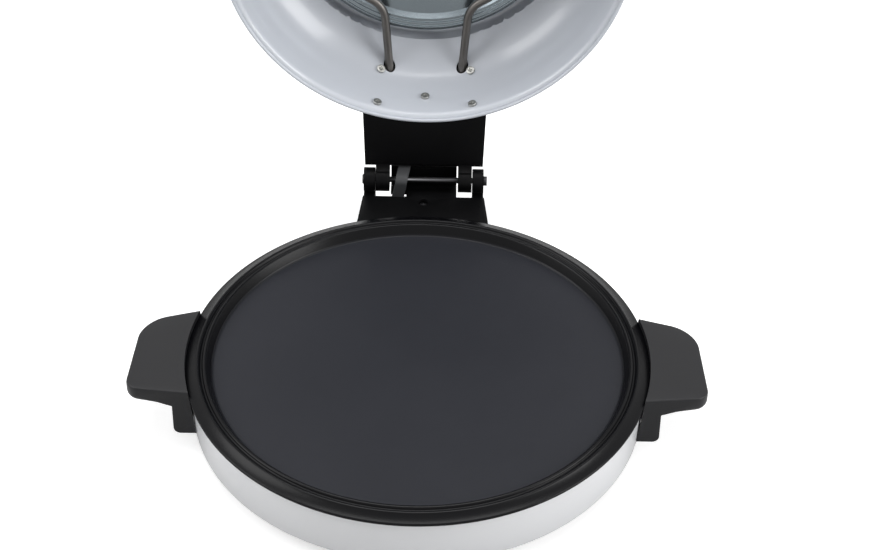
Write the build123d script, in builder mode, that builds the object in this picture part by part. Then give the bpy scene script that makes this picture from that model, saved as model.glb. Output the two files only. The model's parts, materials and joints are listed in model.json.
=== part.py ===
from build123d import *
from math import acos, asin, atan2, cos, degrees, hypot, radians, sin, sqrt
import os

# Countertop pizza cooker with a domed lid hinged at the back, shown with the lid open.
# The origin is the centre of the cooking surface. +Z is up, -Y is the front, +X is the right
# as seen from the front.

os.makedirs("parts", exist_ok=True)

# ---------------------------------------------------------------- driving dimensions (mm, degrees)

# Cooking plate
cook_r = 150.0
plate_t = 4.0
wall_run = 5.1
bead_pitch = 5.4
bead_half = 1.6
bead_drop = 0.9
groove_depth = 1.8
flange_run = 8.9
flange_drop = 3.2
rim_h = 8.0
rim_edge_t = 2.6
well_fillet = 2.5

# Pale band round the base
band_inset = 2.4
band_draft = 1.8
band_h = 38.8
band_t = 0.8
band_lip = 6.0
band_corner = 1.5
window_w = 56.0
window_h = 16.0

# Bottom cover and feet
cover_t = 1.0
cover_dish = 3.0
foot_h = 9.0
foot_r = 10.0
foot_taper = 1.5
foot_recess = 5.0
foot_circle_r = 145.0
foot_angle = 60.0
vent_len = 34.0
vent_w = 4.0
vent_count = 12
vent_circle_r = 92.0

# Lower heater
heater_r = 3.3
lower_ring_r = 104.0
lower_gap_angle = 15.0
lower_bend_r = 9.0
lower_leg = 6.0
clamp_len = 34.0
clamp_w = 14.0
clamp_t = 2.0
clamp_corner = 3.0
clamp_count = 3
clamp_boss_in = 15.0
boss_r = 5.0
shield_t = 0.6
shield_r = 130.0
shield_rim = 5.0
shield_hole_r = 24.0
leg_hole_margin = 2.0

# Thermostat, fuse, terminal block and leads
stat_r = 9.0
stat_cap_h = 3.0
stat_body_h = 7.0
stat_tab_x = 4.5
stat_strap_len = 66.0
stat_strap_w = 22.0
stat_strap_t = 1.2
stat_screw_x = 24.0
standoff_r = 4.0
tab_w = 6.3
tab_t = 0.8
tab_len = 7.0
block_w = 34.0
block_d = 16.0
block_h = 13.0
block_y = 78.0
tunnel_x = (-12.0, -5.0, 5.0, 12.0)
tunnel_lift = 7.0
lead_r = 1.2
lead_bend_r = 2.5
lead_entry = 4.0
fuse_y = 52.0
fuse_len = 16.0
fuse_wall = 1.5

# Fasteners
screw_r = 2.0
screw_head_r = 3.6
screw_head_h = 2.2
small_screw_r = 1.6
small_head_r = 3.3
small_head_h = 2.0
spare_length = 2.0
nut_r = 3.4
nut_h = 2.4
slot_cut = 0.7
fastener_gap = 0.05
fit_gap = 0.3
head_lift = 0.15

# Side handles
handle_reach = 43.0
handle_root_w = 92.0
handle_taper = 8.0
handle_t = 12.5
handle_slope = 3.0
handle_tip_slant = 5.0
handle_back_r = 20.0
handle_front_r = 10.0
handle_top_round = 1.4
handle_low_round = 5.0
handle_top = 8.0
drop_reach = 8.5
drop_bottom = -31.0
drop_corner_r = 5.0
handle_screw_y = 24.0
handle_screw_z = -17.0
handle_screw_len = 7.0

# Hinge
hinge_behind_rim = 42.4
hinge_z = 8.2
knuckle_r = 9.5
rod_r = 2.25
rod_gap = 0.05
base_knuckle_in = 38.8
base_knuckle_w = 9.0
lid_knuckle_in = 27.3
lid_knuckle_w = 11.0
rod_head_r = 3.85
rod_head_h = 1.2
end_screw_r = 1.5
end_screw_len = 11.0
end_head_r = 3.8
end_head_h = 2.6
open_angle = 96.4

# Bracket behind the band
bracket_top = -2.0
bracket_h = 31.0
bracket_root_half = 53.0
bracket_tip_half = 48.5
bracket_end_gap = 8.8
bracket_wall = 3.0
arm_lift = 7.0
bracket_cover_t = 2.0
bracket_screw_x = 34.0
bracket_screw_z = -16.0
bracket_screw_len = 14.0
bracket_boss_w = 10.0
bracket_boss_d = 16.0
recess_in = 7.0
recess_r = 4.0
recess_depth = 5.0
gland_x = 22.0
gland_z = -20.0
gland_bore_r = 3.6
gland_wall = 2.2
gland_rim = 2.5
gland_flange = 2.4
gland_proud = 5.0
gland_length = 13.0

# Lid dome, heights measured from the centre of the rolled edge
lid_t = 0.8
lid_seat_gap = 0.4
lid_edge_r = 1.3
flare_r = 5.0
wall_low_z = 6.0
wall_lean = 1.5
dome_arc_z = 15.0
dome_arc_r = 50.0
crown_r = 118.0
crown_lean = 2.0
crown_z = 72.0

# Reflector in the lid
dish_t = 0.6
dish_r = 106.3
dish_rim_z = 55.5
dish_step = 1.5
dish_land = 98.0
dish_floor_z = 62.5
dish_skirt = 4.0
dish_crown = 1.0
dish_fix_r = 60.0
spacer_r = 4.5

# Upper heater
upper_ring_r = 88.5
upper_z = 49.0
upper_tube_r = 3.25
leg_hole_x = 29.1
leg_lean = 4.7
leg_bend_r = 20.0
leg_hole_r = 4.6
leg_out = 16.0
clip_w = 10.0
clip_t = 1.0
clip_foot_in = 14.0
clip_foot_half = 5.0
clip_hug = 0.2
insulator_r = 4.4
insulator_len = 9.0

# Shelf and low screen of the bracket behind the hinge rod
shelf_t = 2.5
screen_back = 14.2
screen_t = 2.5
screen_rise = 4.0
screen_side_gap = 1.0

# Hinge housing on the lid
housing_floor = 2.0
housing_front_half = 50.0
housing_end_half = 46.9
housing_end_gap = 10.0
housing_wall = 3.0
housing_heel = 22.0
housing_top = 60.0
housing_front = 112.0
housing_shoulder = 46.0
housing_run = 12.0
housing_roof_run = 30.0
housing_corner = 4.0
lid_boss_wall = 2.4
web_t = 3.0
web_h = 24.0
lid_screw_len = 11.0

# Screws in the lid's rear wall
lid_screw_high_z = 45.0
lid_screw_high_turn = 14.7
lid_screw_mid_z = 25.0
lid_screw_low_z = 9.0
lid_screw_low_turn = 14.3

# Lead sleeve across the hinge
sleeve_w = 9.4
sleeve_t = 3.4
sleeve_low_x = -22.5
sleeve_high_x = -14.0
slot_height = 9.0
slot_margin = 2.0
sleeve_depth = 12.0
sleeve_inside = 14.0

# Leads in the housing: one passes lower than the other
lid_lead_low = 30.0
lid_lead_high = 34.0

# Lid handle
lid_handle_z = 15.0
lid_handle_w = 84.0
lid_handle_reach = 42.0
lid_handle_t = 13.0
lid_handle_corner_r = 16.0
lid_handle_screw_x = 22.0

# ---------------------------------------------------------------- derived sizes and frames

inner_bead_r = cook_r + wall_run
outer_bead_r = inner_bead_r + bead_pitch
groove_r = (inner_bead_r + outer_bead_r) / 2
rim_r = outer_bead_r + flange_run
hinge_y = rim_r + hinge_behind_rim
flange_under = rim_h - flange_drop - rim_edge_t
band_top_r = rim_r - band_inset
band_bottom_r = band_top_r - band_draft
band_bottom = flange_under - band_h
cover_low = band_bottom - cover_t
table_z = cover_low - foot_h

# The lid's rolled edge rests between the two rim beads.
bead_arc_r = (bead_half**2 + bead_drop**2) / (2 * bead_drop)
seat_reach = bead_arc_r + lid_edge_r + lid_seat_gap
lid_z = rim_h - bead_arc_r + sqrt(seat_reach**2 - (bead_pitch / 2) ** 2)
lid_edge_z = lid_z - hinge_z

turn = radians(open_angle)
lid_frame = Plane(
    origin=(
        0,
        hinge_y - hinge_y * cos(turn) + lid_edge_z * sin(turn),
        hinge_z + hinge_y * sin(turn) + lid_edge_z * cos(turn),
    ),
    x_dir=(1, 0, 0),
    z_dir=(0, sin(turn), cos(turn)),
)
lid_axis = Axis(lid_frame.origin, lid_frame.z_dir)
lid_section = Plane(lid_frame.origin, x_dir=lid_frame.x_dir, z_dir=-lid_frame.y_dir)
lid_side = Plane(lid_frame.origin, x_dir=lid_frame.y_dir, z_dir=lid_frame.x_dir)

lid_hinge_z = -lid_edge_z
wall_low_r = groove_r - flare_r
dome_arc_x = wall_low_r - wall_lean - dome_arc_r
housing_end = hinge_y - housing_end_gap
bracket_end = hinge_y - bracket_end_gap
recess_y = bracket_end - recess_in
bracket_low = bracket_top - bracket_h
foot_spots = [
    (sx * foot_circle_r * cos(radians(foot_angle)), sy * foot_circle_r * sin(radians(foot_angle)))
    for sx in (-1, 1)
    for sy in (-1, 1)
]
sides = (-1, 1)
lid_screw_spots = [
    (lid_screw_high_turn, lid_screw_high_z),
    (-lid_screw_high_turn, lid_screw_high_z),
    (0.0, lid_screw_mid_z),
    (lid_screw_low_turn, lid_screw_low_z),
    (-lid_screw_low_turn, lid_screw_low_z),
]
clamp_angles = [-90 + 360 * i / clamp_count for i in range(clamp_count)]
fix_angles = (30, 150, 270)
clip_angles = (0, 180, 270)
bottom_up = (Align.CENTER, Align.CENTER, Align.MIN)
top_down = (Align.CENTER, Align.CENTER, Align.MAX)


def lid_point(x, y, z):
    """A point given in the lid's own frame, in the cooker's frame."""
    return lid_frame.from_local_coords(Vector(x, y, z))


def lid_direction(x, y, z):
    """A direction given in the lid's own frame, in the cooker's frame."""
    return lid_frame.x_dir * x + lid_frame.y_dir * y + lid_frame.z_dir * z


def dome_radius(z):
    """Inner radius of the dome's wall at a height above the rolled edge."""
    if z < dome_arc_z:
        share = (z - wall_low_z) / (dome_arc_z - wall_low_z)
        return wall_low_r - wall_lean * share
    return dome_arc_x + sqrt(dome_arc_r**2 - (z - dome_arc_z) ** 2)


def wall_plane(azimuth, z, inset=0.0):
    """A plane on the dome's inner wall, facing into the lid, azimuth from the rear centre line."""
    if z < dome_arc_z:
        lift = atan2(wall_lean, dome_arc_z - wall_low_z)
    else:
        lift = asin((z - dome_arc_z) / dome_arc_r)
    r = dome_radius(z) - inset * cos(lift)
    a = radians(azimuth)
    spot = lid_point(r * sin(a), r * cos(a), z - inset * sin(lift))
    outward = lid_direction(cos(lift) * sin(a), cos(lift) * cos(a), sin(lift))
    return Plane(spot, x_dir=lid_direction(cos(a), -sin(a), 0), z_dir=-outward)


def screw(spot, shank_r, length, head_r, head_h):
    """A pan-head screw with its seat on the plane and its shank running behind the plane."""
    with Locations(spot):
        Cylinder(head_r, head_h, align=bottom_up)
        Cylinder(shank_r, length, align=top_down)
    with Locations(spot.offset(head_h)):
        Box(head_r, slot_cut, head_h, mode=Mode.SUBTRACT)
        Box(slot_cut, head_r, head_h, mode=Mode.SUBTRACT)


def dome_outline(grow):
    """Lid outline from the axis to the flared edge, grown outwards by a wall thickness."""
    foot_r = crown_r + grow
    arc_r = dome_arc_r + grow
    foot_z = dome_arc_z + sqrt(arc_r**2 - (foot_r - dome_arc_x) ** 2)
    start = (dome_arc_x + arc_r, dome_arc_z)
    low = (wall_low_r + grow, wall_low_z)
    bend = flare_r - grow
    tip = (groove_r, wall_low_z - bend)
    half = sqrt(0.5)
    rise = (asin((foot_z - dome_arc_z) / arc_r)) / 2
    Line((0, crown_z + grow), (foot_r - crown_lean, crown_z + grow))
    Line((foot_r - crown_lean, crown_z + grow), (foot_r, foot_z))
    ThreePointArc(
        (foot_r, foot_z),
        (dome_arc_x + arc_r * cos(rise), dome_arc_z + arc_r * sin(rise)),
        start,
    )
    Line(start, low)
    ThreePointArc(low, (groove_r - bend * half, wall_low_z - bend * half), tip)
    if grow > 0:
        Line(tip, (groove_r, wall_low_z - flare_r))
    Line((groove_r, wall_low_z - flare_r), (0, wall_low_z - flare_r))
    Line((0, wall_low_z - flare_r), (0, crown_z + grow))


# ---------------------------------------------------------------- cooking plate

boss_h = 2 * heater_r
boss_low = -plate_t - boss_h
clamp_screw_r = lower_ring_r - clamp_boss_in
with BuildPart() as cooking_plate:
    with BuildSketch(Plane.XZ):
        with BuildLine():
            high = rim_h - bead_drop
            inner_foot = (inner_bead_r - bead_half, high)
            inner_end = (inner_bead_r + bead_half, high)
            outer_start = (outer_bead_r - bead_half, high)
            outer_end = (outer_bead_r + bead_half, high)
            edge_round = rim_edge_t / 2
            edge_top = (rim_r - edge_round, rim_h - flange_drop)
            edge_low = (rim_r - edge_round, flange_under)
            FilletPolyline((0, 0), (cook_r, 0), inner_foot, radius=well_fillet)
            ThreePointArc(inner_foot, (inner_bead_r, rim_h), inner_end)
            ThreePointArc(inner_end, (groove_r, rim_h - groove_depth), outer_start)
            ThreePointArc(outer_start, (outer_bead_r, rim_h), outer_end)
            Line(outer_end, edge_top)
            ThreePointArc(edge_top, (rim_r, flange_under + edge_round), edge_low)
            Polyline(
                edge_low,
                (inner_bead_r + bead_half, flange_under),
                (cook_r + bead_half, -plate_t),
                (0, -plate_t),
                (0, 0),
            )
        make_face()
    revolve(axis=Axis.Z)
    # Bosses for the tie screws and for the heater clamps
    with Locations(*[(x, y, boss_low) for x, y in foot_spots]):
        Cylinder(boss_r, boss_h, align=bottom_up)
    with Locations(*[(x, y, boss_low) for x, y in foot_spots]):
        Cylinder(screw_r + fastener_gap, boss_h, align=bottom_up, mode=Mode.SUBTRACT)
    with BuildSketch(Plane.XY.offset(boss_low)):
        with PolarLocations(clamp_screw_r, clamp_count, start_angle=-90):
            Circle(boss_r)
            Circle(small_screw_r + fastener_gap, mode=Mode.SUBTRACT)
    extrude(amount=boss_h)
cooking_plate.part.label = "cooking_plate"
export_step(cooking_plate.part, "parts/cooking_plate.step")

# ---------------------------------------------------------------- band round the base


def band_radius(z):
    """Outer radius of the drafted band at a height."""
    return band_bottom_r + band_draft * (z - band_bottom) / band_h


def band_seat(side, z):
    """Distance from the axis where a flat screw head touches the inside of the curved band."""
    wall = band_radius(z - screw_head_r) - band_t
    return sqrt(wall**2 - (side + screw_head_r) ** 2) - fastener_gap


with BuildPart() as base_shell:
    with BuildSketch(Plane.XZ):
        with BuildLine():
            FilletPolyline(
                (band_top_r - band_lip, flange_under),
                (band_top_r, flange_under),
                (band_bottom_r, band_bottom),
                (band_bottom_r - band_lip, band_bottom),
                radius=band_corner,
            )
            Line(
                (band_bottom_r - band_lip, band_bottom),
                (band_bottom_r - band_lip, band_bottom + band_t),
            )
            FilletPolyline(
                (band_bottom_r - band_lip, band_bottom + band_t),
                (band_bottom_r - band_t, band_bottom + band_t),
                (band_top_r - band_t, flange_under - band_t),
                (band_top_r - band_lip, flange_under - band_t),
                radius=band_corner - band_t,
            )
            Line(
                (band_top_r - band_lip, flange_under - band_t),
                (band_top_r - band_lip, flange_under),
            )
        make_face()
    revolve(axis=Axis.Z)
    # Holes for the handle screws, the bracket screws and the wiring window at the back
    with BuildSketch(Plane.YZ):
        with Locations(*[(t * handle_screw_y, handle_screw_z) for t in sides]):
            Circle(screw_r + fastener_gap)
    extrude(amount=rim_r, both=True, mode=Mode.SUBTRACT)
    with BuildSketch(Plane.XZ):
        with Locations(*[(s * bracket_screw_x, bracket_screw_z) for s in sides]):
            Circle(screw_r + fastener_gap)
        with Locations((0, bracket_screw_z)):
            Rectangle(window_w, window_h)
    extrude(amount=-rim_r, mode=Mode.SUBTRACT)
base_shell.part.label = "base_shell"
export_step(base_shell.part, "parts/base_shell.step")

# ---------------------------------------------------------------- bottom cover, feet and tie screws

with BuildPart() as bottom_cover:
    with BuildSketch(Plane.XZ):
        with BuildLine():
            outer = band_bottom_r - band_corner
            bend_r = foot_circle_r - 2.2 * foot_r
            Polyline(
                (0, band_bottom + cover_dish),
                (bend_r - cover_dish, band_bottom + cover_dish),
                (bend_r, band_bottom),
                (outer, band_bottom),
                (outer, cover_low),
                (bend_r - cover_t * 0.4, cover_low),
                (bend_r - cover_dish - cover_t * 0.4, cover_low + cover_dish),
                (0, cover_low + cover_dish),
                (0, band_bottom + cover_dish),
            )
        make_face()
    revolve(axis=Axis.Z)
    with BuildSketch(Plane.XY.offset(cover_low)):
        with PolarLocations(vent_circle_r, vent_count):
            SlotOverall(vent_len, vent_w)
        with Locations(*foot_spots):
            Circle(screw_r + fastener_gap)
    extrude(amount=cover_dish + cover_t, mode=Mode.SUBTRACT)
bottom_cover.part.label = "bottom_cover"
export_step(bottom_cover.part, "parts/bottom_cover.step")

with BuildPart() as feet:
    for x, y in foot_spots:
        with BuildSketch(Plane.XY.offset(table_z)):
            with Locations((x, y)):
                Circle(foot_r - foot_taper)
        extrude(amount=foot_h, taper=-degrees(atan2(foot_taper, foot_h)))
        with Locations((x, y, table_z)):
            Cylinder(screw_head_r + 1, foot_recess, align=bottom_up, mode=Mode.SUBTRACT)
            Cylinder(screw_r + fastener_gap, foot_h, align=bottom_up, mode=Mode.SUBTRACT)
feet.part.label = "feet"
export_step(feet.part, "parts/feet.step")

with BuildPart() as tie_screws:
    seat = table_z + foot_recess
    for x, y in foot_spots:
        seat_plane = Plane((x, y, seat), x_dir=(1, 0, 0), z_dir=(0, 0, -1))
        screw(seat_plane, screw_r, -plate_t - spare_length - seat, screw_head_r, screw_head_h)
tie_screws.part.label = "tie_screws"
export_step(tie_screws.part, "parts/tie_screws.step")

# ---------------------------------------------------------------- lower heater and its clamps

heater_z = -plate_t - heater_r - fastener_gap


def ring_point(r, angle, z):
    """A point on a level circle, angle from +X."""
    return Vector(r * cos(radians(angle)), r * sin(radians(angle)), z)


def ring_end(s):
    """End of the lower heater's ring beside the gap, on one side."""
    return ring_point(lower_ring_r, 90 + s * lower_gap_angle, heater_z)


def leg_shift(s):
    """Level move from a ring end to the leg that turns down from it."""
    a = radians(90 + s * lower_gap_angle)
    return Vector(sin(a), -cos(a), 0) * (s * lower_bend_r)


with BuildPart() as lower_element:
    with BuildLine() as lower_path:
        down = Vector(0, 0, -lower_bend_r)
        for s in sides:
            end = ring_end(s)
            turned = end + leg_shift(s) + down
            middle = end + leg_shift(s) * sqrt(0.5) + down * (1 - sqrt(0.5))
            ThreePointArc(end, middle, turned)
            Line(turned, turned + Vector(0, 0, -lower_leg))
        CenterArc(
            (0, 0, heater_z),
            lower_ring_r,
            90 + lower_gap_angle,
            360 - 2 * lower_gap_angle,
        )
    lower_wire = lower_path.wires()[0]
    with BuildSketch(Plane(lower_wire @ 0, z_dir=lower_wire % 0)):
        Circle(heater_r)
    sweep(path=lower_wire)
lower_element.part.label = "lower_element"
export_step(lower_element.part, "parts/lower_element.step")

clamp_top = boss_low - fastener_gap
clamp_mid_r = (lower_ring_r + clamp_screw_r) / 2
with BuildPart() as element_clamps:
    with BuildSketch(Plane.XY.offset(clamp_top)):
        with PolarLocations(clamp_mid_r, clamp_count, start_angle=-90):
            RectangleRounded(clamp_len, clamp_w, clamp_corner)
        with PolarLocations(clamp_screw_r, clamp_count, start_angle=-90):
            Circle(small_screw_r + fastener_gap, mode=Mode.SUBTRACT)
    extrude(amount=-clamp_t)
element_clamps.part.label = "element_clamps"
export_step(element_clamps.part, "parts/element_clamps.step")

shield_top = clamp_top - clamp_t - fastener_gap
with BuildPart() as lower_reflector:
    with BuildSketch(Plane.XZ):
        with BuildLine():
            Polyline(
                (0, shield_top),
                (shield_r, shield_top),
                (shield_r + shield_rim / 2, shield_top + shield_rim),
                (shield_r + shield_rim / 2 + shield_t, shield_top + shield_rim),
                (shield_r + shield_t / 2, shield_top - shield_t),
                (0, shield_top - shield_t),
                (0, shield_top),
            )
        make_face()
    revolve(axis=Axis.Z)
    with BuildSketch(Plane.XY.offset(shield_top)):
        Circle(shield_hole_r)
        with PolarLocations(clamp_screw_r, clamp_count, start_angle=-90):
            Circle(small_screw_r + fastener_gap)
        for s in sides:
            leg_spot = ring_end(s) + leg_shift(s)
            with Locations((leg_spot.X, leg_spot.Y)):
                Circle(heater_r + leg_hole_margin)
    extrude(amount=-shield_t, mode=Mode.SUBTRACT)
lower_reflector.part.label = "lower_reflector"
export_step(lower_reflector.part, "parts/lower_reflector.step")

with BuildPart() as clamp_screws:
    seat = shield_top - shield_t - fastener_gap
    for angle in clamp_angles:
        spot = ring_point(clamp_screw_r, angle, seat)
        seat_plane = Plane(spot, x_dir=(1, 0, 0), z_dir=(0, 0, -1))
        screw(seat_plane, small_screw_r, -plate_t - spare_length - seat, small_head_r, small_head_h)
clamp_screws.part.label = "clamp_screws"
export_step(clamp_screws.part, "parts/clamp_screws.step")

# ---------------------------------------------------------------- thermostat, fuse and terminals

stat_top = -plate_t - fastener_gap
stat_low = stat_top - stat_cap_h - stat_body_h
with BuildPart() as thermostat:
    with Locations((0, 0, stat_top)):
        Cylinder(stat_r, stat_cap_h, align=top_down)
    with Locations((0, 0, stat_top - stat_cap_h)):
        Cylinder(stat_r - 1, stat_body_h, align=top_down)
    with Locations(*[(s * stat_tab_x, 0, stat_low) for s in sides]):
        Box(tab_t, tab_w, tab_len, align=top_down)
thermostat.part.label = "thermostat"
export_step(thermostat.part, "parts/thermostat.step")

stat_strap_z = stat_top - stat_cap_h - fastener_gap
with BuildPart() as thermostat_bracket:
    with BuildSketch(Plane.XY.offset(stat_strap_z)):
        SlotOverall(stat_strap_len, stat_strap_w)
        Circle(stat_r - 1 + fastener_gap, mode=Mode.SUBTRACT)
        with Locations((-stat_screw_x, 0), (stat_screw_x, 0)):
            Circle(small_screw_r + fastener_gap, mode=Mode.SUBTRACT)
    extrude(amount=-stat_strap_t)
    # Stand-off rings reach up to the plate on both screws
    with BuildSketch(Plane.XY.offset(stat_strap_z)):
        with Locations((-stat_screw_x, 0), (stat_screw_x, 0)):
            Circle(standoff_r)
            Circle(small_screw_r + fastener_gap, mode=Mode.SUBTRACT)
    extrude(amount=stat_cap_h)
thermostat_bracket.part.label = "thermostat_bracket"
export_step(thermostat_bracket.part, "parts/thermostat_bracket.step")

block_low = band_bottom + cover_dish + fastener_gap
tunnel_z = block_low + tunnel_lift
with BuildPart() as terminal_block:
    with BuildSketch(Plane.XY.offset(block_low)):
        with Locations((0, block_y)):
            RectangleRounded(block_w, block_d, 2)
    extrude(amount=block_h)
    with BuildSketch(Plane.XZ.offset(-block_y)):
        with Locations(*[(x, tunnel_z) for x in tunnel_x]):
            Circle(lead_r + fit_gap)
    extrude(amount=block_d, both=True, mode=Mode.SUBTRACT)
    with Locations((0, block_y, block_low)):
        Cylinder(small_screw_r + fastener_gap, block_h, align=bottom_up, mode=Mode.SUBTRACT)
terminal_block.part.label = "terminal_block"
export_step(terminal_block.part, "parts/terminal_block.step")

with BuildPart() as block_screw:
    seat_plane = Plane((0, block_y, block_low + block_h + fastener_gap), x_dir=(1, 0, 0), z_dir=(0, 0, 1))
    screw(seat_plane, small_screw_r, block_h, small_head_r, small_head_h)
block_screw.part.label = "block_screw"
export_step(block_screw.part, "parts/block_screw.step")

# ---------------------------------------------------------------- side handles

handle_root_r = band_top_r + fit_gap
handle_tip_x = handle_root_r + handle_reach
drop_x = band_top_r + drop_reach
handle_inside = sqrt(band_bottom_r**2 - handle_root_w**2 / 4) - fit_gap

with BuildPart() as body_clearance:
    # The space of the band and the plate's flange, kept free by everything bolted to the band
    with BuildSketch(Plane.XZ):
        with BuildLine():
            Polyline(
                (0, table_z),
                (band_bottom_r + fit_gap, table_z),
                (band_bottom_r + fit_gap, band_bottom),
                (band_top_r + fit_gap, flange_under - fit_gap),
                (rim_r + fit_gap, flange_under - fit_gap),
                (rim_r + fit_gap, 2 * rim_h),
                (0, 2 * rim_h),
                (0, table_z),
            )
        make_face()
    revolve(axis=Axis.Z)

with BuildPart() as right_handle:
    with BuildSketch(Plane.XZ) as handle_section:
        with BuildLine():
            grip_low = handle_top - handle_t
            Polyline(
                (handle_inside, handle_top),
                (handle_tip_x, handle_top - handle_slope),
                (handle_tip_x, grip_low - handle_slope),
                (drop_x, grip_low - handle_slope * drop_reach / handle_reach),
                (drop_x, drop_bottom),
                (handle_inside, drop_bottom),
                (handle_inside, handle_top),
            )
        make_face()
        fillet(handle_section.vertices().group_by(Axis.Y)[0].sort_by(Axis.X)[-1], drop_corner_r)
    extrude(amount=handle_root_w / 2, both=True)
    with BuildSketch(Plane.XY.offset(drop_bottom)) as handle_plan:
        with BuildLine():
            Polyline(
                (handle_inside, -handle_root_w / 2),
                (handle_root_r, -handle_root_w / 2),
                (handle_tip_x, -handle_root_w / 2 + handle_taper),
                (handle_tip_x - handle_tip_slant, handle_root_w / 2 - handle_taper),
                (handle_root_r, handle_root_w / 2),
                (handle_inside, handle_root_w / 2),
                (handle_inside, -handle_root_w / 2),
            )
        make_face()
        handle_corners = handle_plan.vertices().sort_by(Axis.X)[-2:].sort_by(Axis.Y)
        fillet(handle_corners[0], handle_front_r)
        fillet(handle_corners[1], handle_back_r)
    extrude(amount=handle_top - drop_bottom, mode=Mode.INTERSECT)
    top_edges = right_handle.faces().sort_by(Axis.Z)[-1].edges()
    fillet(top_edges.sort_by(Axis.X)[1:], handle_top_round)
    grip_base = right_handle.faces().filter_by(lambda f: f.normal_at().Z < -0.9).sort_by(Axis.X)[-1]
    fillet(grip_base.edges().sort_by(Axis.X)[1:], handle_low_round)
    add(body_clearance.part, mode=Mode.SUBTRACT)
    with BuildSketch(Plane.YZ.offset(band_radius(handle_screw_z))):
        with Locations(*[(t * handle_screw_y, handle_screw_z) for t in sides]):
            Circle(screw_r + fastener_gap)
    extrude(amount=handle_screw_len - 1, both=True, mode=Mode.SUBTRACT)
right_handle.part.label = "right_handle"
export_step(right_handle.part, "parts/right_handle.step")

with BuildPart() as left_handle:
    mirror(right_handle.part, about=Plane.YZ)
left_handle.part.label = "left_handle"
export_step(left_handle.part, "parts/left_handle.step")

with BuildPart() as handle_screws:
    for s, t in [(s, t) for s in sides for t in sides]:
        x = band_seat(handle_screw_y, handle_screw_z)
        seat_plane = Plane((s * x, t * handle_screw_y, handle_screw_z), x_dir=(0, 1, 0), z_dir=(-s, 0, 0))
        screw(seat_plane, screw_r, handle_screw_len, screw_head_r, screw_head_h)
handle_screws.part.label = "handle_screws"
export_step(handle_screws.part, "parts/handle_screws.step")

# ---------------------------------------------------------------- bracket behind the band

bracket_root = sqrt(band_bottom_r**2 - bracket_root_half**2) - fit_gap
sleeve_foot_z = bracket_top - sleeve_depth


def bracket_plan(inset):
    """Tapered outline of the bracket seen from above, drawn inwards by a wall thickness."""
    Polyline(
        (-bracket_root_half + inset, bracket_root - inset),
        (bracket_root_half - inset, bracket_root - inset),
        (bracket_tip_half - inset, bracket_end - inset),
        (-bracket_tip_half + inset, bracket_end - inset),
        (-bracket_root_half + inset, bracket_root - inset),
    )


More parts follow.
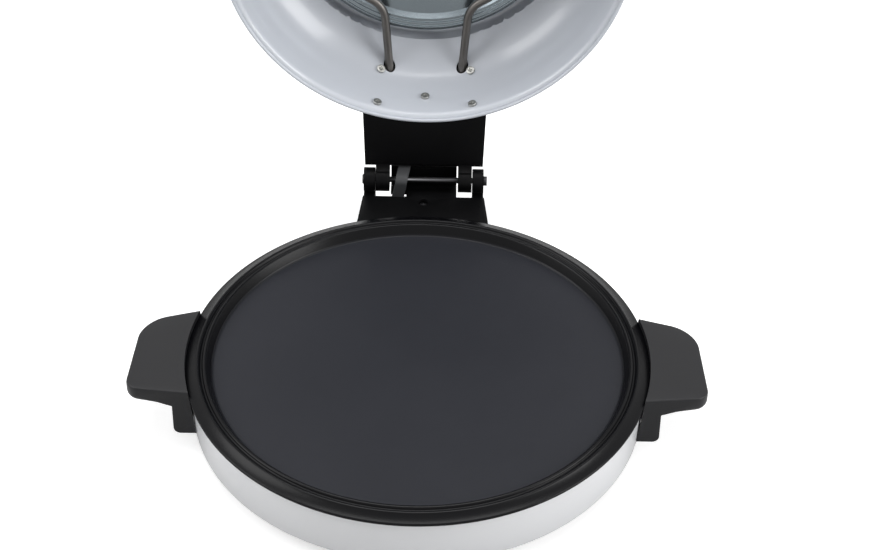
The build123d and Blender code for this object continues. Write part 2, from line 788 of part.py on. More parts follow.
with BuildPart() as base_hinge_bracket:
    with BuildSketch(Plane.XY.offset(bracket_low)):
        with BuildLine():
            bracket_plan(0)
        make_face()
    extrude(amount=bracket_h)
    # Knuckle arms behind and below the rod
    arm_root = bracket_end - 2 * bracket_wall
    arm_back = hinge_y + knuckle_r
    for arm_x in (-base_knuckle_in - base_knuckle_w, base_knuckle_in):
        with BuildSketch(Plane.YZ.offset(arm_x)):
            with BuildLine():
                Polyline(
                    (arm_root, bracket_low + arm_lift),
                    (arm_back - bracket_wall, bracket_low + 2 * arm_lift),
                    (arm_back, bracket_top - bracket_wall),
                    (arm_back, hinge_z),
                    (hinge_y, hinge_z),
                    (hinge_y - bracket_wall, bracket_top),
                    (arm_root, bracket_top),
                    (arm_root, bracket_low + arm_lift),
                )
            make_face()
            with Locations((hinge_y, hinge_z)):
                Circle(knuckle_r)
        extrude(amount=base_knuckle_w)
    # Shelf under the rod with a low screen behind it, between the lid's knuckles
    with BuildSketch(Plane.YZ.offset(screen_side_gap - lid_knuckle_in)):
        with BuildLine():
            screen_y = hinge_y + screen_back
            Polyline(
                (arm_root, bracket_top),
                (screen_y - screen_t, bracket_top),
                (screen_y - screen_t, hinge_z + screen_rise),
                (screen_y, hinge_z + screen_rise),
                (screen_y, bracket_top - shelf_t),
                (arm_root, bracket_top - shelf_t),
                (arm_root, bracket_top),
            )
        make_face()
    extrude(amount=2 * (lid_knuckle_in - screen_side_gap))
    # The lead sleeve rises through a notch in the shelf
    notch_end = sleeve_low_x + sleeve_w / 2 + 2 * slot_margin
    notch_depth = fit_gap + sleeve_t + slot_margin
    with BuildSketch(Plane.XY.offset(bracket_top - shelf_t)):
        with Locations((notch_end, bracket_end)):
            Rectangle(notch_end + lid_knuckle_in, notch_depth, align=(Align.MAX, Align.MIN))
    extrude(amount=shelf_t, mode=Mode.SUBTRACT)
    add(body_clearance.part, mode=Mode.SUBTRACT)
    # Hollow from below, open towards the band for the wiring
    with BuildSketch(Plane.XY.offset(bracket_low)):
        with BuildLine():
            bracket_plan(bracket_wall)
        make_face()
    extrude(amount=bracket_h - bracket_wall, mode=Mode.SUBTRACT)
    with BuildSketch(Plane.XY.offset(bracket_low)):
        with BuildLine():
            bracket_plan(bracket_wall / 2)
        make_face()
    extrude(amount=bracket_cover_t, mode=Mode.SUBTRACT)
    # Screw bosses against the band and under the recess
    boss_mid_y = sqrt(band_top_r**2 - bracket_screw_x**2) + bracket_boss_d / 2 - 1
    with BuildSketch(Plane.XY.offset(bracket_low + bracket_cover_t)):
        with Locations(*[(s * bracket_screw_x, boss_mid_y) for s in sides]):
            Rectangle(bracket_boss_w, bracket_boss_d)
        with Locations((0, recess_y)):
            Circle(recess_r + 2)
    extrude(amount=bracket_h - bracket_cover_t - 1)
    add(body_clearance.part, mode=Mode.SUBTRACT)
    with BuildSketch(Plane.XZ.offset(-band_seat(bracket_screw_x, bracket_screw_z))):
        with Locations(*[(s * bracket_screw_x, bracket_screw_z) for s in sides]):
            Circle(screw_r + fastener_gap)
    extrude(amount=-(bracket_screw_len + 1), mode=Mode.SUBTRACT)
    # Round recess on top with the cover screw's hole below it
    with Locations((0, recess_y, bracket_top)):
        CounterBoreHole(small_screw_r + fastener_gap, recess_r, recess_depth, depth=bracket_h)
    # Rod bore, gland hole and lead slot
    with BuildSketch(Plane.YZ.offset(-base_knuckle_in - base_knuckle_w - 1)):
        with Locations((hinge_y, hinge_z)):
            Circle(rod_r + rod_gap)
    extrude(amount=2 * (base_knuckle_in + base_knuckle_w + 1), mode=Mode.SUBTRACT)
    with BuildSketch(Plane.XZ.offset(-bracket_end)):
        with Locations((gland_x, gland_z)):
            Circle(gland_bore_r + gland_wall + fastener_gap)
        with Locations((sleeve_low_x, sleeve_foot_z)):
            Rectangle(sleeve_w + 2 * slot_margin, sleeve_t + 2 * slot_margin)
    extrude(amount=bracket_wall, mode=Mode.SUBTRACT)
base_hinge_bracket.part.label = "base_hinge_bracket"
export_step(base_hinge_bracket.part, "parts/base_hinge_bracket.step")

with BuildPart() as bracket_cover:
    with BuildSketch(Plane.XY.offset(bracket_low)):
        with BuildLine():
            bracket_plan(bracket_wall / 2 + fastener_gap)
        make_face()
        with Locations((0, recess_y)):
            Circle(small_screw_r + fastener_gap, mode=Mode.SUBTRACT)
    extrude(amount=bracket_cover_t - fastener_gap)
    add(body_clearance.part, mode=Mode.SUBTRACT)
bracket_cover.part.label = "bracket_cover"
export_step(bracket_cover.part, "parts/bracket_cover.step")

with BuildPart() as cover_screw:
    seat = bracket_top - recess_depth + fastener_gap
    seat_plane = Plane((0, recess_y, seat), x_dir=(1, 0, 0), z_dir=(0, 0, 1))
    screw(seat_plane, small_screw_r, bracket_h - recess_depth, small_head_r, small_head_h)
cover_screw.part.label = "cover_screw"
export_step(cover_screw.part, "parts/cover_screw.step")

with BuildPart() as bracket_screws:
    for s in sides:
        y = band_seat(bracket_screw_x, bracket_screw_z)
        seat_plane = Plane((s * bracket_screw_x, y, bracket_screw_z), x_dir=(1, 0, 0), z_dir=(0, -1, 0))
        screw(seat_plane, screw_r, bracket_screw_len, screw_head_r, screw_head_h)
bracket_screws.part.label = "bracket_screws"
export_step(bracket_screws.part, "parts/bracket_screws.step")

gland_back = bracket_end + gland_proud
gland_r = gland_bore_r + gland_wall
with BuildPart() as cable_gland:
    with BuildSketch(Plane.XZ.offset(-gland_back)):
        with Locations((gland_x, gland_z)):
            Circle(gland_r)
            Circle(gland_bore_r, mode=Mode.SUBTRACT)
    extrude(amount=gland_length)
    with BuildSketch(Plane.XZ.offset(-(bracket_end + fastener_gap))):
        with Locations((gland_x, gland_z)):
            Circle(gland_r + gland_rim)
            Circle(gland_bore_r, mode=Mode.SUBTRACT)
    extrude(amount=-gland_flange)
cable_gland.part.label = "cable_gland"
export_step(cable_gland.part, "parts/cable_gland.step")

# ---------------------------------------------------------------- hinge rod and its end screw

rod_end = base_knuckle_in + base_knuckle_w
rod_line = Plane((0, hinge_y, hinge_z), x_dir=(0, 1, 0), z_dir=(1, 0, 0))
with BuildPart() as hinge_rod:
    with Locations(rod_line):
        Cylinder(rod_r, 2 * (rod_end + fastener_gap))
    with Locations(rod_line.offset(-rod_end - fastener_gap)):
        Cylinder(rod_head_r, rod_head_h, align=top_down)
    with Locations(rod_line.offset(rod_end + fastener_gap)):
        Cylinder(end_screw_r + fastener_gap, end_screw_len + 1, align=top_down, mode=Mode.SUBTRACT)
hinge_rod.part.label = "hinge_rod"
export_step(hinge_rod.part, "parts/hinge_rod.step")

with BuildPart() as hinge_screw:
    screw(rod_line.offset(rod_end + 2 * fastener_gap), end_screw_r, end_screw_len, end_head_r, end_head_h)
hinge_screw.part.label = "hinge_screw"
export_step(hinge_screw.part, "parts/hinge_screw.step")

# ---------------------------------------------------------------- lid dome

handle_fix_z = lid_handle_z + lid_handle_t / 2
handle_fix_turn = degrees(asin(lid_handle_screw_x / dome_radius(handle_fix_z)))
handle_fix_spots = [(180 + s * handle_fix_turn, handle_fix_z) for s in sides]
through = 6.0


def lid_level(r, angle, z):
    """A plane square to the lid's axis, at a radius, an angle from +X and a height."""
    return Plane(lid_point(*ring_point(r, angle, z)), x_dir=lid_frame.x_dir, z_dir=lid_frame.z_dir)


with BuildPart() as lid_shell:
    with BuildSketch(lid_section):
        with BuildLine():
            dome_outline(lid_t)
        make_face()
        with BuildLine():
            dome_outline(0)
        make_face(mode=Mode.SUBTRACT)
        with Locations((groove_r, 0)):
            Circle(lid_edge_r)
    revolve(axis=lid_axis)
    for azimuth, z in lid_screw_spots:
        with Locations(wall_plane(azimuth, z)):
            Cylinder(small_screw_r + fastener_gap, through, mode=Mode.SUBTRACT)
    # Oval holes where the heater's legs pass through the sloping wall
    leg_wall_y = sqrt(dome_radius(upper_z) ** 2 - leg_hole_x**2)
    for s in sides:
        leg_run = lid_direction(-s * sin(radians(leg_lean)), cos(radians(leg_lean)), 0)
        with Locations(Plane(lid_point(s * leg_hole_x, leg_wall_y, upper_z), z_dir=leg_run)):
            Cylinder(leg_hole_r, leg_out, mode=Mode.SUBTRACT)
    for azimuth, z in handle_fix_spots:
        with Locations(wall_plane(azimuth, z)):
            Cylinder(small_screw_r + fastener_gap, through, mode=Mode.SUBTRACT)
    for angle in fix_angles:
        with Locations(lid_level(dish_fix_r, angle, crown_z)):
            Cylinder(small_screw_r + fastener_gap, through, mode=Mode.SUBTRACT)
lid_shell.part.label = "lid_shell"
export_step(lid_shell.part, "parts/lid_shell.step")

# ---------------------------------------------------------------- reflector dish

step_run = (dish_r - dish_land - 3) / 2


def dish_line(shift):
    """Points across the dish from its axis to its rim, moved along the lid's axis."""
    return [
        (0, dish_floor_z + dish_crown + shift),
        (dish_land - 3, dish_floor_z + shift),
        (dish_land, dish_rim_z + 2 * dish_step + shift),
        (dish_land + step_run, dish_rim_z + 2 * dish_step + shift),
        (dish_land + step_run, dish_rim_z + dish_step + shift),
        (dish_land + 2 * step_run, dish_rim_z + dish_step + shift),
        (dish_land + 2 * step_run, dish_rim_z + shift),
    ]


clip_foot_r = upper_ring_r - clip_foot_in


def dish_face(r):
    """Height of the dish's shiny face at a radius."""
    return dish_floor_z + dish_crown * (1 - r / (dish_land - 3))


with BuildPart() as reflector_dish:
    with BuildSketch(lid_section):
        with BuildLine():
            face_side = dish_line(0)
            back_side = [(r + dish_t if r > 0 else 0, z) for r, z in dish_line(dish_t)]
            Polyline(
                *face_side,
                (dish_r, dish_rim_z),
                (dish_r, dish_rim_z + dish_skirt),
                (dish_r - dish_t, dish_rim_z + dish_skirt),
                (dish_r - dish_t, dish_rim_z + dish_t),
                *reversed(back_side),
                face_side[0],
            )
        make_face()
    revolve(axis=lid_axis)
    for r, angles in ((dish_fix_r, fix_angles), (clip_foot_r, clip_angles)):
        for angle in angles:
            with Locations(lid_level(r, angle, dish_floor_z)):
                Cylinder(small_screw_r + fastener_gap, through, mode=Mode.SUBTRACT)
reflector_dish.part.label = "reflector_dish"
export_step(reflector_dish.part, "parts/reflector_dish.step")

dish_back = dish_face(dish_fix_r) + dish_t
spacer_low = dish_back + fastener_gap
spacer_h = crown_z - fastener_gap - spacer_low
with BuildPart() as reflector_spacers:
    for angle in fix_angles:
        with Locations(lid_level(dish_fix_r, angle, spacer_low)):
            Cylinder(spacer_r, spacer_h, align=bottom_up)
            Cylinder(small_screw_r + fastener_gap, spacer_h, align=bottom_up, mode=Mode.SUBTRACT)
reflector_spacers.part.label = "reflector_spacers"
export_step(reflector_spacers.part, "parts/reflector_spacers.step")

# The nuts sit on the outside of the crown
screw_seat = dish_face(dish_fix_r + small_head_r) - fastener_gap
crown_top = crown_z + lid_t
with BuildPart() as reflector_screws:
    for angle in fix_angles:
        spot = lid_level(dish_fix_r, angle, screw_seat)
        seat_plane = Plane(spot.origin, x_dir=spot.x_dir, z_dir=-spot.z_dir)
        screw(seat_plane, small_screw_r, crown_top - screw_seat + nut_h, small_head_r, small_head_h)
        with Locations(lid_level(dish_fix_r, angle, crown_top + fastener_gap)):
            Cylinder(nut_r, nut_h, align=bottom_up)
reflector_screws.part.label = "reflector_screws"
export_step(reflector_screws.part, "parts/reflector_screws.step")

# ---------------------------------------------------------------- upper heater

lean = radians(leg_lean)
leg_normal = (cos(lean), sin(lean))
hole_along = leg_hole_x * leg_normal[0] + leg_wall_y * leg_normal[1]
join = lean + acos((hole_along + leg_bend_r) / (upper_ring_r + leg_bend_r))
bend_x = (upper_ring_r + leg_bend_r) * cos(join)
bend_y = (upper_ring_r + leg_bend_r) * sin(join)
leg_start = (bend_x - leg_bend_r * leg_normal[0], bend_y - leg_bend_r * leg_normal[1])
leg_end = (
    leg_hole_x - sin(lean) * leg_out,
    leg_wall_y + cos(lean) * leg_out,
)
ring_join = (upper_ring_r * cos(join), upper_ring_r * sin(join))
mid_turn = (lean + join) / 2 + radians(180)
bend_mid = (bend_x + leg_bend_r * cos(mid_turn), bend_y + leg_bend_r * sin(mid_turn))

with BuildPart() as upper_element:
    with BuildLine(lid_frame.offset(upper_z)) as upper_path:
        for s in sides:
            Line((s * leg_end[0], leg_end[1]), (s * leg_start[0], leg_start[1]))
            ThreePointArc(
                (s * leg_start[0], leg_start[1]),
                (s * bend_mid[0], bend_mid[1]),
                (s * ring_join[0], ring_join[1]),
            )
        ThreePointArc(
            (-ring_join[0], ring_join[1]),
            (0, -upper_ring_r),
            (ring_join[0], ring_join[1]),
        )
    upper_wire = upper_path.wires()[0]
    with BuildSketch(Plane(upper_wire @ 0, z_dir=upper_wire % 0)):
        Circle(upper_tube_r)
    sweep(path=upper_wire)
upper_element.part.label = "upper_element"
export_step(upper_element.part, "parts/upper_element.step")

# Clips that hold the ring off the dish
hug_in = upper_tube_r + clip_hug
hug_out = hug_in + clip_t
clip_seat = dish_face(clip_foot_r + clip_foot_half) - fastener_gap
clip_start = clip_foot_r - clip_foot_half
clip_turn = clip_foot_r + clip_foot_half
with BuildPart() as element_clips:
    for angle in clip_angles:
        a = radians(angle)
        outward = lid_direction(cos(a), sin(a), 0)
        across = lid_direction(-sin(a), cos(a), 0)
        with BuildSketch(Plane(lid_frame.origin, x_dir=outward, z_dir=-across)):
            with Locations((upper_ring_r, upper_z)):
                Circle(hug_out)
            with Locations((upper_ring_r, upper_z - hug_out)):
                Rectangle(hug_out, hug_out, mode=Mode.SUBTRACT)
            with BuildLine():
                Polyline(
                    (clip_start, clip_seat - clip_t),
                    (clip_turn, clip_seat - clip_t),
                    (upper_ring_r - clip_t, upper_z + hug_in),
                    (upper_ring_r + clip_t, upper_z + hug_in),
                    (clip_turn + clip_t, clip_seat),
                    (clip_start, clip_seat),
                    (clip_start, clip_seat - clip_t),
                )
            make_face()
            with Locations((upper_ring_r, upper_z)):
                Circle(hug_in, mode=Mode.SUBTRACT)
        extrude(amount=clip_w / 2, both=True)
        with Locations(lid_level(clip_foot_r, angle, clip_seat)):
            Cylinder(small_screw_r + fastener_gap, through, mode=Mode.SUBTRACT)
element_clips.part.label = "element_clips"
export_step(element_clips.part, "parts/element_clips.step")

with BuildPart() as clip_screws:
    for angle in clip_angles:
        spot = lid_level(clip_foot_r, angle, clip_seat - clip_t - fastener_gap)
        seat_plane = Plane(spot.origin, x_dir=spot.x_dir, z_dir=-spot.z_dir)
        screw(seat_plane, small_screw_r, clip_t + spare_length, small_head_r, small_head_h)
clip_screws.part.label = "clip_screws"
export_step(clip_screws.part, "parts/clip_screws.step")

# Ceramic ends and tabs on the legs, inside the housing


def leg_plane(s, beyond):
    """A plane square to a leg, at a distance beyond the leg's end."""
    run = lid_direction(-s * sin(lean), cos(lean), 0)
    spot = lid_point(s * leg_end[0], leg_end[1], upper_z) + run * beyond
    return Plane(spot, x_dir=lid_frame.z_dir, z_dir=run)


with BuildPart() as element_insulators:
    for s in sides:
        with Locations(leg_plane(s, fastener_gap)):
            Cylinder(insulator_r, insulator_len, align=bottom_up)
element_insulators.part.label = "element_insulators"
export_step(element_insulators.part, "parts/element_insulators.step")

with BuildPart() as element_tabs:
    for s in sides:
        with Locations(leg_plane(s, insulator_len + 2 * fastener_gap)):
            Box(tab_w, tab_t, tab_len, align=bottom_up)
element_tabs.part.label = "element_tabs"
export_step(element_tabs.part, "parts/element_tabs.step")

# ---------------------------------------------------------------- hinge housing on the lid

with BuildPart() as dome_clearance:
    # The space of the dome, kept free by what is screwed to its outside
    with BuildSketch(lid_section):
        with BuildLine():
            dome_outline(lid_t + fit_gap)
        make_face()
        with Locations((groove_r / 2, wall_low_z - flare_r - 4)):
            Rectangle(groove_r, 8)
        with Locations((groove_r, 0)):
            Circle(lid_edge_r + fit_gap)
    revolve(axis=lid_axis)


def housing_side(inset):
    """Side outline of the housing in the lid's frame, drawn inwards by a wall thickness."""
    FilletPolyline(
        (housing_front, housing_floor + inset),
        (housing_end - inset, housing_floor + inset),
        (housing_end - inset, housing_heel - inset / 2),
        (housing_end - housing_run - inset, housing_shoulder - inset / 2),
        (housing_end - housing_roof_run - inset, housing_top - housing_floor - inset),
        (housing_front, housing_top - inset),
        radius=housing_corner,
    )
    Line((housing_front, housing_top - inset), (housing_front, housing_floor + inset))


def housing_plan(inset):
    """Tapered outline of the housing seen along the lid's axis."""
    Polyline(
        (-housing_front_half + inset, housing_front - 1),
        (housing_front_half - inset, housing_front - 1),
        (housing_end_half - inset, housing_end + 1),
        (-housing_end_half + inset, housing_end + 1),
        (-housing_front_half + inset, housing_front - 1),
    )


with BuildPart() as lid_hinge_housing:
    with BuildSketch(lid_side):
        with BuildLine():
            housing_side(0)
        make_face()
    extrude(amount=housing_front_half, both=True)
    with BuildSketch(lid_frame):
        with BuildLine():
            housing_plan(0)
        make_face()
    extrude(amount=2 * housing_top, mode=Mode.INTERSECT)
    with BuildSketch(lid_side):
        with BuildLine():
            housing_side(housing_wall)
        make_face()
    extrude(amount=housing_end_half - housing_wall, both=True, mode=Mode.SUBTRACT)
    # Bosses for the five screws
    for azimuth, z in lid_screw_spots:
        with Locations(wall_plane(azimuth, z)):
            Cylinder(small_screw_r + lid_boss_wall, lid_screw_len + 4, align=top_down)
    # A web ties the middle boss to the end wall
    with BuildSketch(lid_side):
        with BuildLine():
            web_start = dome_radius(lid_screw_mid_z) - web_t
            Polyline(
                (web_start, housing_floor),
                (housing_end - 1, housing_floor),
                (housing_end - 1, housing_heel),
                (web_start, housing_floor + web_h),
                (web_start, housing_floor),
            )
        make_face()
    extrude(amount=web_t / 2, both=True)
    # Knuckles on short arms
    for s in sides:
        knuckle_mid = s * (lid_knuckle_in + lid_knuckle_w / 2)
        with BuildSketch(lid_side.offset(knuckle_mid)):
            with BuildLine():
                Polyline(
                    (housing_end - housing_wall, housing_floor),
                    (housing_end, lid_hinge_z - knuckle_r / 2),
                    (hinge_y, lid_hinge_z - knuckle_r / 2),
                    (hinge_y, lid_hinge_z + knuckle_r),
                    (housing_end - housing_wall, lid_hinge_z + knuckle_r + housing_wall),
                    (housing_end - housing_wall, housing_floor),
                )
            make_face()
            with Locations((hinge_y, lid_hinge_z)):
                Circle(knuckle_r)
        extrude(amount=lid_knuckle_w / 2, both=True)
    with BuildSketch(lid_side.offset(-housing_front_half)):
        with Locations((hinge_y, lid_hinge_z)):
            Circle(rod_r + rod_gap)
    extrude(amount=2 * housing_front_half, mode=Mode.SUBTRACT)
    add(dome_clearance.part, mode=Mode.SUBTRACT)
    for azimuth, z in lid_screw_spots:
        with Locations(wall_plane(azimuth, z)):
            Cylinder(small_screw_r + fastener_gap, lid_screw_len + 1, align=top_down, mode=Mode.SUBTRACT)
    # Slot for the lead sleeve in the end wall
    with BuildSketch(Plane(lid_point(0, housing_end + 1, 0), x_dir=lid_frame.x_dir, z_dir=-lid_frame.y_dir)):
        with Locations((sleeve_high_x - slot_margin, slot_height)):
            Rectangle(sleeve_w + 2 * slot_margin, sleeve_t + slot_margin)
    extrude(amount=housing_wall + 2, mode=Mode.SUBTRACT)
lid_hinge_housing.part.label = "lid_hinge_housing"
export_step(lid_hinge_housing.part, "parts/lid_hinge_housing.step")

with BuildPart() as lid_screws:
    for azimuth, z in lid_screw_spots:
        seat_plane = wall_plane(azimuth, z, inset=head_lift)
        screw(seat_plane, small_screw_r, lid_screw_len, small_head_r, small_head_h)
lid_screws.part.label = "lid_screws"
export_step(lid_screws.part, "parts/lid_screws.step")

# ---------------------------------------------------------------- lid handle

lid_handle_root = dome_radius(lid_handle_z)
lid_grip_y = -(lid_handle_root + lid_handle_reach)
with BuildPart() as lid_handle:
    with BuildSketch(lid_frame.offset(lid_handle_z)) as lid_handle_plan:
        with BuildLine():
            Polyline(
                (-lid_handle_w / 2, -crown_r),
                (-lid_handle_w / 2, -lid_handle_root),
                (-lid_handle_w / 2 + handle_taper, lid_grip_y),
                (lid_handle_w / 2 - handle_taper, lid_grip_y),
                (lid_handle_w / 2, -lid_handle_root),
                (lid_handle_w / 2, -crown_r),
                (-lid_handle_w / 2, -crown_r),
            )
        make_face()
        lid_handle_corners = lid_handle_plan.vertices().sort_by(Axis((0, 0, 0), (0, -1, 0)))[-2:]
        fillet(lid_handle_corners, lid_handle_corner_r)
    extrude(amount=lid_handle_t)
    add(dome_clearance.part, mode=Mode.SUBTRACT)
    for azimuth, z in handle_fix_spots:
        with Locations(wall_plane(azimuth, z)):
            Cylinder(small_screw_r + fastener_gap, lid_screw_len + 1, align=top_down, mode=Mode.SUBTRACT)
lid_handle.part.label = "lid_handle"
export_step(lid_handle.part, "parts/lid_handle.step")

with BuildPart() as lid_handle_screws:
    for azimuth, z in handle_fix_spots:
        seat_plane = wall_plane(azimuth, z, inset=head_lift)
        screw(seat_plane, small_screw_r, lid_screw_len, small_head_r, small_head_h)
lid_handle_screws.part.label = "lid_handle_screws"
export_step(lid_handle_screws.part, "parts/lid_handle_screws.step")

# ---------------------------------------------------------------- lead sleeve across the hinge


def strip(points, width):
    """Closed outline of a band of even width along a polyline in a plane."""
    runs = [(b[0] - a[0], b[1] - a[1]) for a, b in zip(points, points[1:])]
    normals = [(-dy / hypot(dx, dy), dx / hypot(dx, dy)) for dx, dy in runs]
    firsts = [normals[0]] + normals
    seconds = normals + [normals[-1]]
    outline = []
    for half_width in (width / 2, -width / 2):
        edge = []
        for (x, y), n, m in zip(points, firsts, seconds):
            share = half_width / (1 + n[0] * m[0] + n[1] * m[1])
            edge.append((x + (n[0] + m[0]) * share, y + (n[1] + m[1]) * share))
        outline.append(edge)
    return outline[0] + outline[1][::-1] + outline[0][:1]


sleeve_y = bracket_end + fit_gap + sleeve_t / 2
housing_slot = lid_point(0, housing_end - housing_wall / 2, slot_height)
sleeve_top_z = housing_slot.Z + sleeve_inside
sleeve_start = bracket_end - bracket_wall - 5
sleeve_route = [
    (sleeve_start, sleeve_foot_z),
    (sleeve_y, sleeve_foot_z),
    (sleeve_y, hinge_z + 3),
    (housing_slot.Y, housing_slot.Z - sleeve_t),
    (housing_slot.Y, sleeve_top_z),
]
with BuildPart() as lead_sleeve:
    with BuildSketch(Plane.YZ):
        with BuildLine():
            Polyline(*strip(sleeve_route, sleeve_t))
        make_face()
    extrude(amount=base_knuckle_in, both=True)
    with BuildSketch(Plane.XZ.offset(-(sleeve_start - 1))):
        with BuildLine():
            low_z = sleeve_foot_z - sleeve_t
            Polyline(
                (sleeve_low_x - sleeve_w / 2, low_z),
                (sleeve_low_x + sleeve_w / 2, low_z),
                (sleeve_high_x + sleeve_w / 2, sleeve_top_z),
                (sleeve_high_x - sleeve_w / 2, sleeve_top_z),
                (sleeve_low_x - sleeve_w / 2, low_z),
            )
        make_face()
    extrude(amount=-base_knuckle_in, mode=Mode.INTERSECT)
lead_sleeve.part.label = "lead_sleeve"
export_step(lead_sleeve.part, "parts/lead_sleeve.step")

# ---------------------------------------------------------------- wiring inside base and housing


def lead(*points, bend=lead_bend_r):
    """A round lead along straight runs joined by arcs."""
    with BuildLine(mode=Mode.PRIVATE) as run:
        FilletPolyline(*points, radius=bend)
    wire = run.wires()[0]
    with BuildSketch(Plane(wire @ 0, z_dir=wire % 0), mode=Mode.PRIVATE) as ring:
        Circle(lead_r)
    sweep(ring.sketch, path=wire)


stat_tab_low = stat_low - tab_len - fastener_gap
floor_run = tunnel_z - 2 * lead_r
leg_foot = ring_end(-1) + leg_shift(-1)
leg_foot_z = heater_z - lower_bend_r - lower_leg - fastener_gap
fuse_x = leg_foot.X + 2 * lead_r
fuse_end = fuse_y + fuse_len
block_front = block_y - block_d / 2
block_back = block_y + block_d / 2
with BuildPart() as inner_leads:
    lead(
        (tunnel_x[0], block_front + lead_entry, tunnel_z),
        (tunnel_x[0], block_front - fuse_len, tunnel_z),
        (-stat_tab_x, 0, floor_run),
        (-stat_tab_x, 0, stat_tab_low),
    )
    lead(
        (stat_tab_x, 0, stat_tab_low),
        (stat_tab_x, 0, floor_run),
        (fuse_x, fuse_y - fuse_len, floor_run),
        (fuse_x, fuse_end + fuse_len, floor_run),
        (leg_foot.X, leg_foot.Y, floor_run),
        (leg_foot.X, leg_foot.Y, leg_foot_z),
    )
    lead(
        (tunnel_x[0], block_back - lead_entry, tunnel_z),
        (tunnel_x[0], block_back + lead_entry, tunnel_z),
        (-leg_foot.X, leg_foot.Y, floor_run),
        (-leg_foot.X, leg_foot.Y, leg_foot_z),
    )
    for x, side in ((tunnel_x[1], -1), (tunnel_x[2], 1)):
        end_x = sleeve_low_x + side * 2 * lead_r
        lead(
            (x, block_back - lead_entry, tunnel_z),
            (x, block_back + block_d, tunnel_z),
            (end_x + sleeve_t, bracket_root, sleeve_foot_z - lead_entry),
            (end_x, sleeve_start - block_d, sleeve_foot_z),
            (end_x, sleeve_start - fastener_gap, sleeve_foot_z),
            bend=3 * lead_bend_r,
        )
inner_leads.part.label = "inner_leads"
export_step(inner_leads.part, "parts/inner_leads.step")

with BuildPart() as thermal_fuse:
    with BuildSketch(Plane.XZ.offset(-fuse_y)):
        with Locations((fuse_x, floor_run)):
            Circle(lead_r + fuse_wall)
            Circle(lead_r + fastener_gap, mode=Mode.SUBTRACT)
    extrude(amount=-fuse_len)
thermal_fuse.part.label = "thermal_fuse"
export_step(thermal_fuse.part, "parts/thermal_fuse.step")

sleeve_top = lid_frame.to_local_coords(Vector(sleeve_high_x, housing_slot.Y, sleeve_top_z + lead_bend_r / 4))
tab_reach = insulator_len + tab_len + 4 * fastener_gap
tab_x = leg_end[0] - sin(lean) * tab_reach
tab_y = leg_end[1] + cos(lean) * tab_reach
turn_y = tab_y + 2 * lead_bend_r
with BuildPart() as lid_leads:
    for s, high in zip(sides, (lid_lead_low, lid_lead_high)):
        start_x = sleeve_high_x + s * 2 * lead_r
        lead(
            lid_point(start_x, sleeve_top.Y, sleeve_top.Z),
            lid_point(start_x, sleeve_top.Y - 3 * lead_bend_r, sleeve_top.Z + 1),
            lid_point(start_x, sleeve_top.Y - 4 * lead_bend_r, high),
            lid_point(s * (tab_x - lead_entry), turn_y, high + 2 * lead_bend_r),
            lid_point(s * tab_x, turn_y, upper_z),
            lid_point(s * tab_x, tab_y, upper_z),
        )
lid_leads.part.label = "lid_leads"
export_step(lid_leads.part, "parts/lid_leads.step")
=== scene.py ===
import json
from math import acos, asin, atan2, cos, degrees, hypot, pi, radians, sin, sqrt, tan

import bmesh
import bpy
from mathutils import Matrix, Vector


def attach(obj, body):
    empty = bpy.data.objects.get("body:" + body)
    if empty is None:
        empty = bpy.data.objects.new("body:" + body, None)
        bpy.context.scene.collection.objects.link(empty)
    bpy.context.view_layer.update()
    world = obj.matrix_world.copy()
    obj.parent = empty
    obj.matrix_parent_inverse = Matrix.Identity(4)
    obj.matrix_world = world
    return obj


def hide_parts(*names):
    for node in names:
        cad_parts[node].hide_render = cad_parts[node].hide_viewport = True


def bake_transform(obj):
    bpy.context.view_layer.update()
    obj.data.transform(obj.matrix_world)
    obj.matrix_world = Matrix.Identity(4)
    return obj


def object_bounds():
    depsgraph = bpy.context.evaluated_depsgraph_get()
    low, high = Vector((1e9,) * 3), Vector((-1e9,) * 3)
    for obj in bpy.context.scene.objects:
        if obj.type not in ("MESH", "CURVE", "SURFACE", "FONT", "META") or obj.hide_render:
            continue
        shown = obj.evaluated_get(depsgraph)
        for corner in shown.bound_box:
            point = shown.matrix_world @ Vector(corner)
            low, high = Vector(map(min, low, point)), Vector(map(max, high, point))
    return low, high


# Countertop pizza cooker, dressed around its solids. Lengths are in millimetres until a piece is
# finished. The origin is the centre of the cooking surface, +Z is up and -Y is the front.

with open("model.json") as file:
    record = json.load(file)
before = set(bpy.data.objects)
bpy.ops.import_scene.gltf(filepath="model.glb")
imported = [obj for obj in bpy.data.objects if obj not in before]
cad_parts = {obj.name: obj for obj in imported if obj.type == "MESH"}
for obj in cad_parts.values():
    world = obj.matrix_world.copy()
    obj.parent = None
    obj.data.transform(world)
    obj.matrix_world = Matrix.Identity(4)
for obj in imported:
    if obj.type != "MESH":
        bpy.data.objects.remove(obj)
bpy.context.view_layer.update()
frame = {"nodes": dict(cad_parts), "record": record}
nodes = frame["nodes"]

MM = 0.001
ROUND_STEPS = 192
TUBE_SIDES = 28

# ---------------------------------------------------------------- sizes shared with the solids

COOK_R = 150.0
PLATE_T = 4.0
WALL_RUN = 5.1
BEAD_PITCH = 5.4
BEAD_HALF = 1.6
BEAD_DROP = 0.9
GROOVE_DEPTH = 1.8
FLANGE_RUN = 8.9
FLANGE_DROP = 3.2
RIM_H = 8.0
RIM_EDGE_T = 2.6
WELL_FILLET = 2.5

BAND_INSET = 2.4
BAND_DRAFT = 1.8
BAND_H = 38.8
BAND_T = 0.8
BAND_LIP = 6.0
BAND_CORNER = 1.5

HINGE_Y = 211.8
HINGE_Z = 8.2
OPEN_ANGLE = 96.4

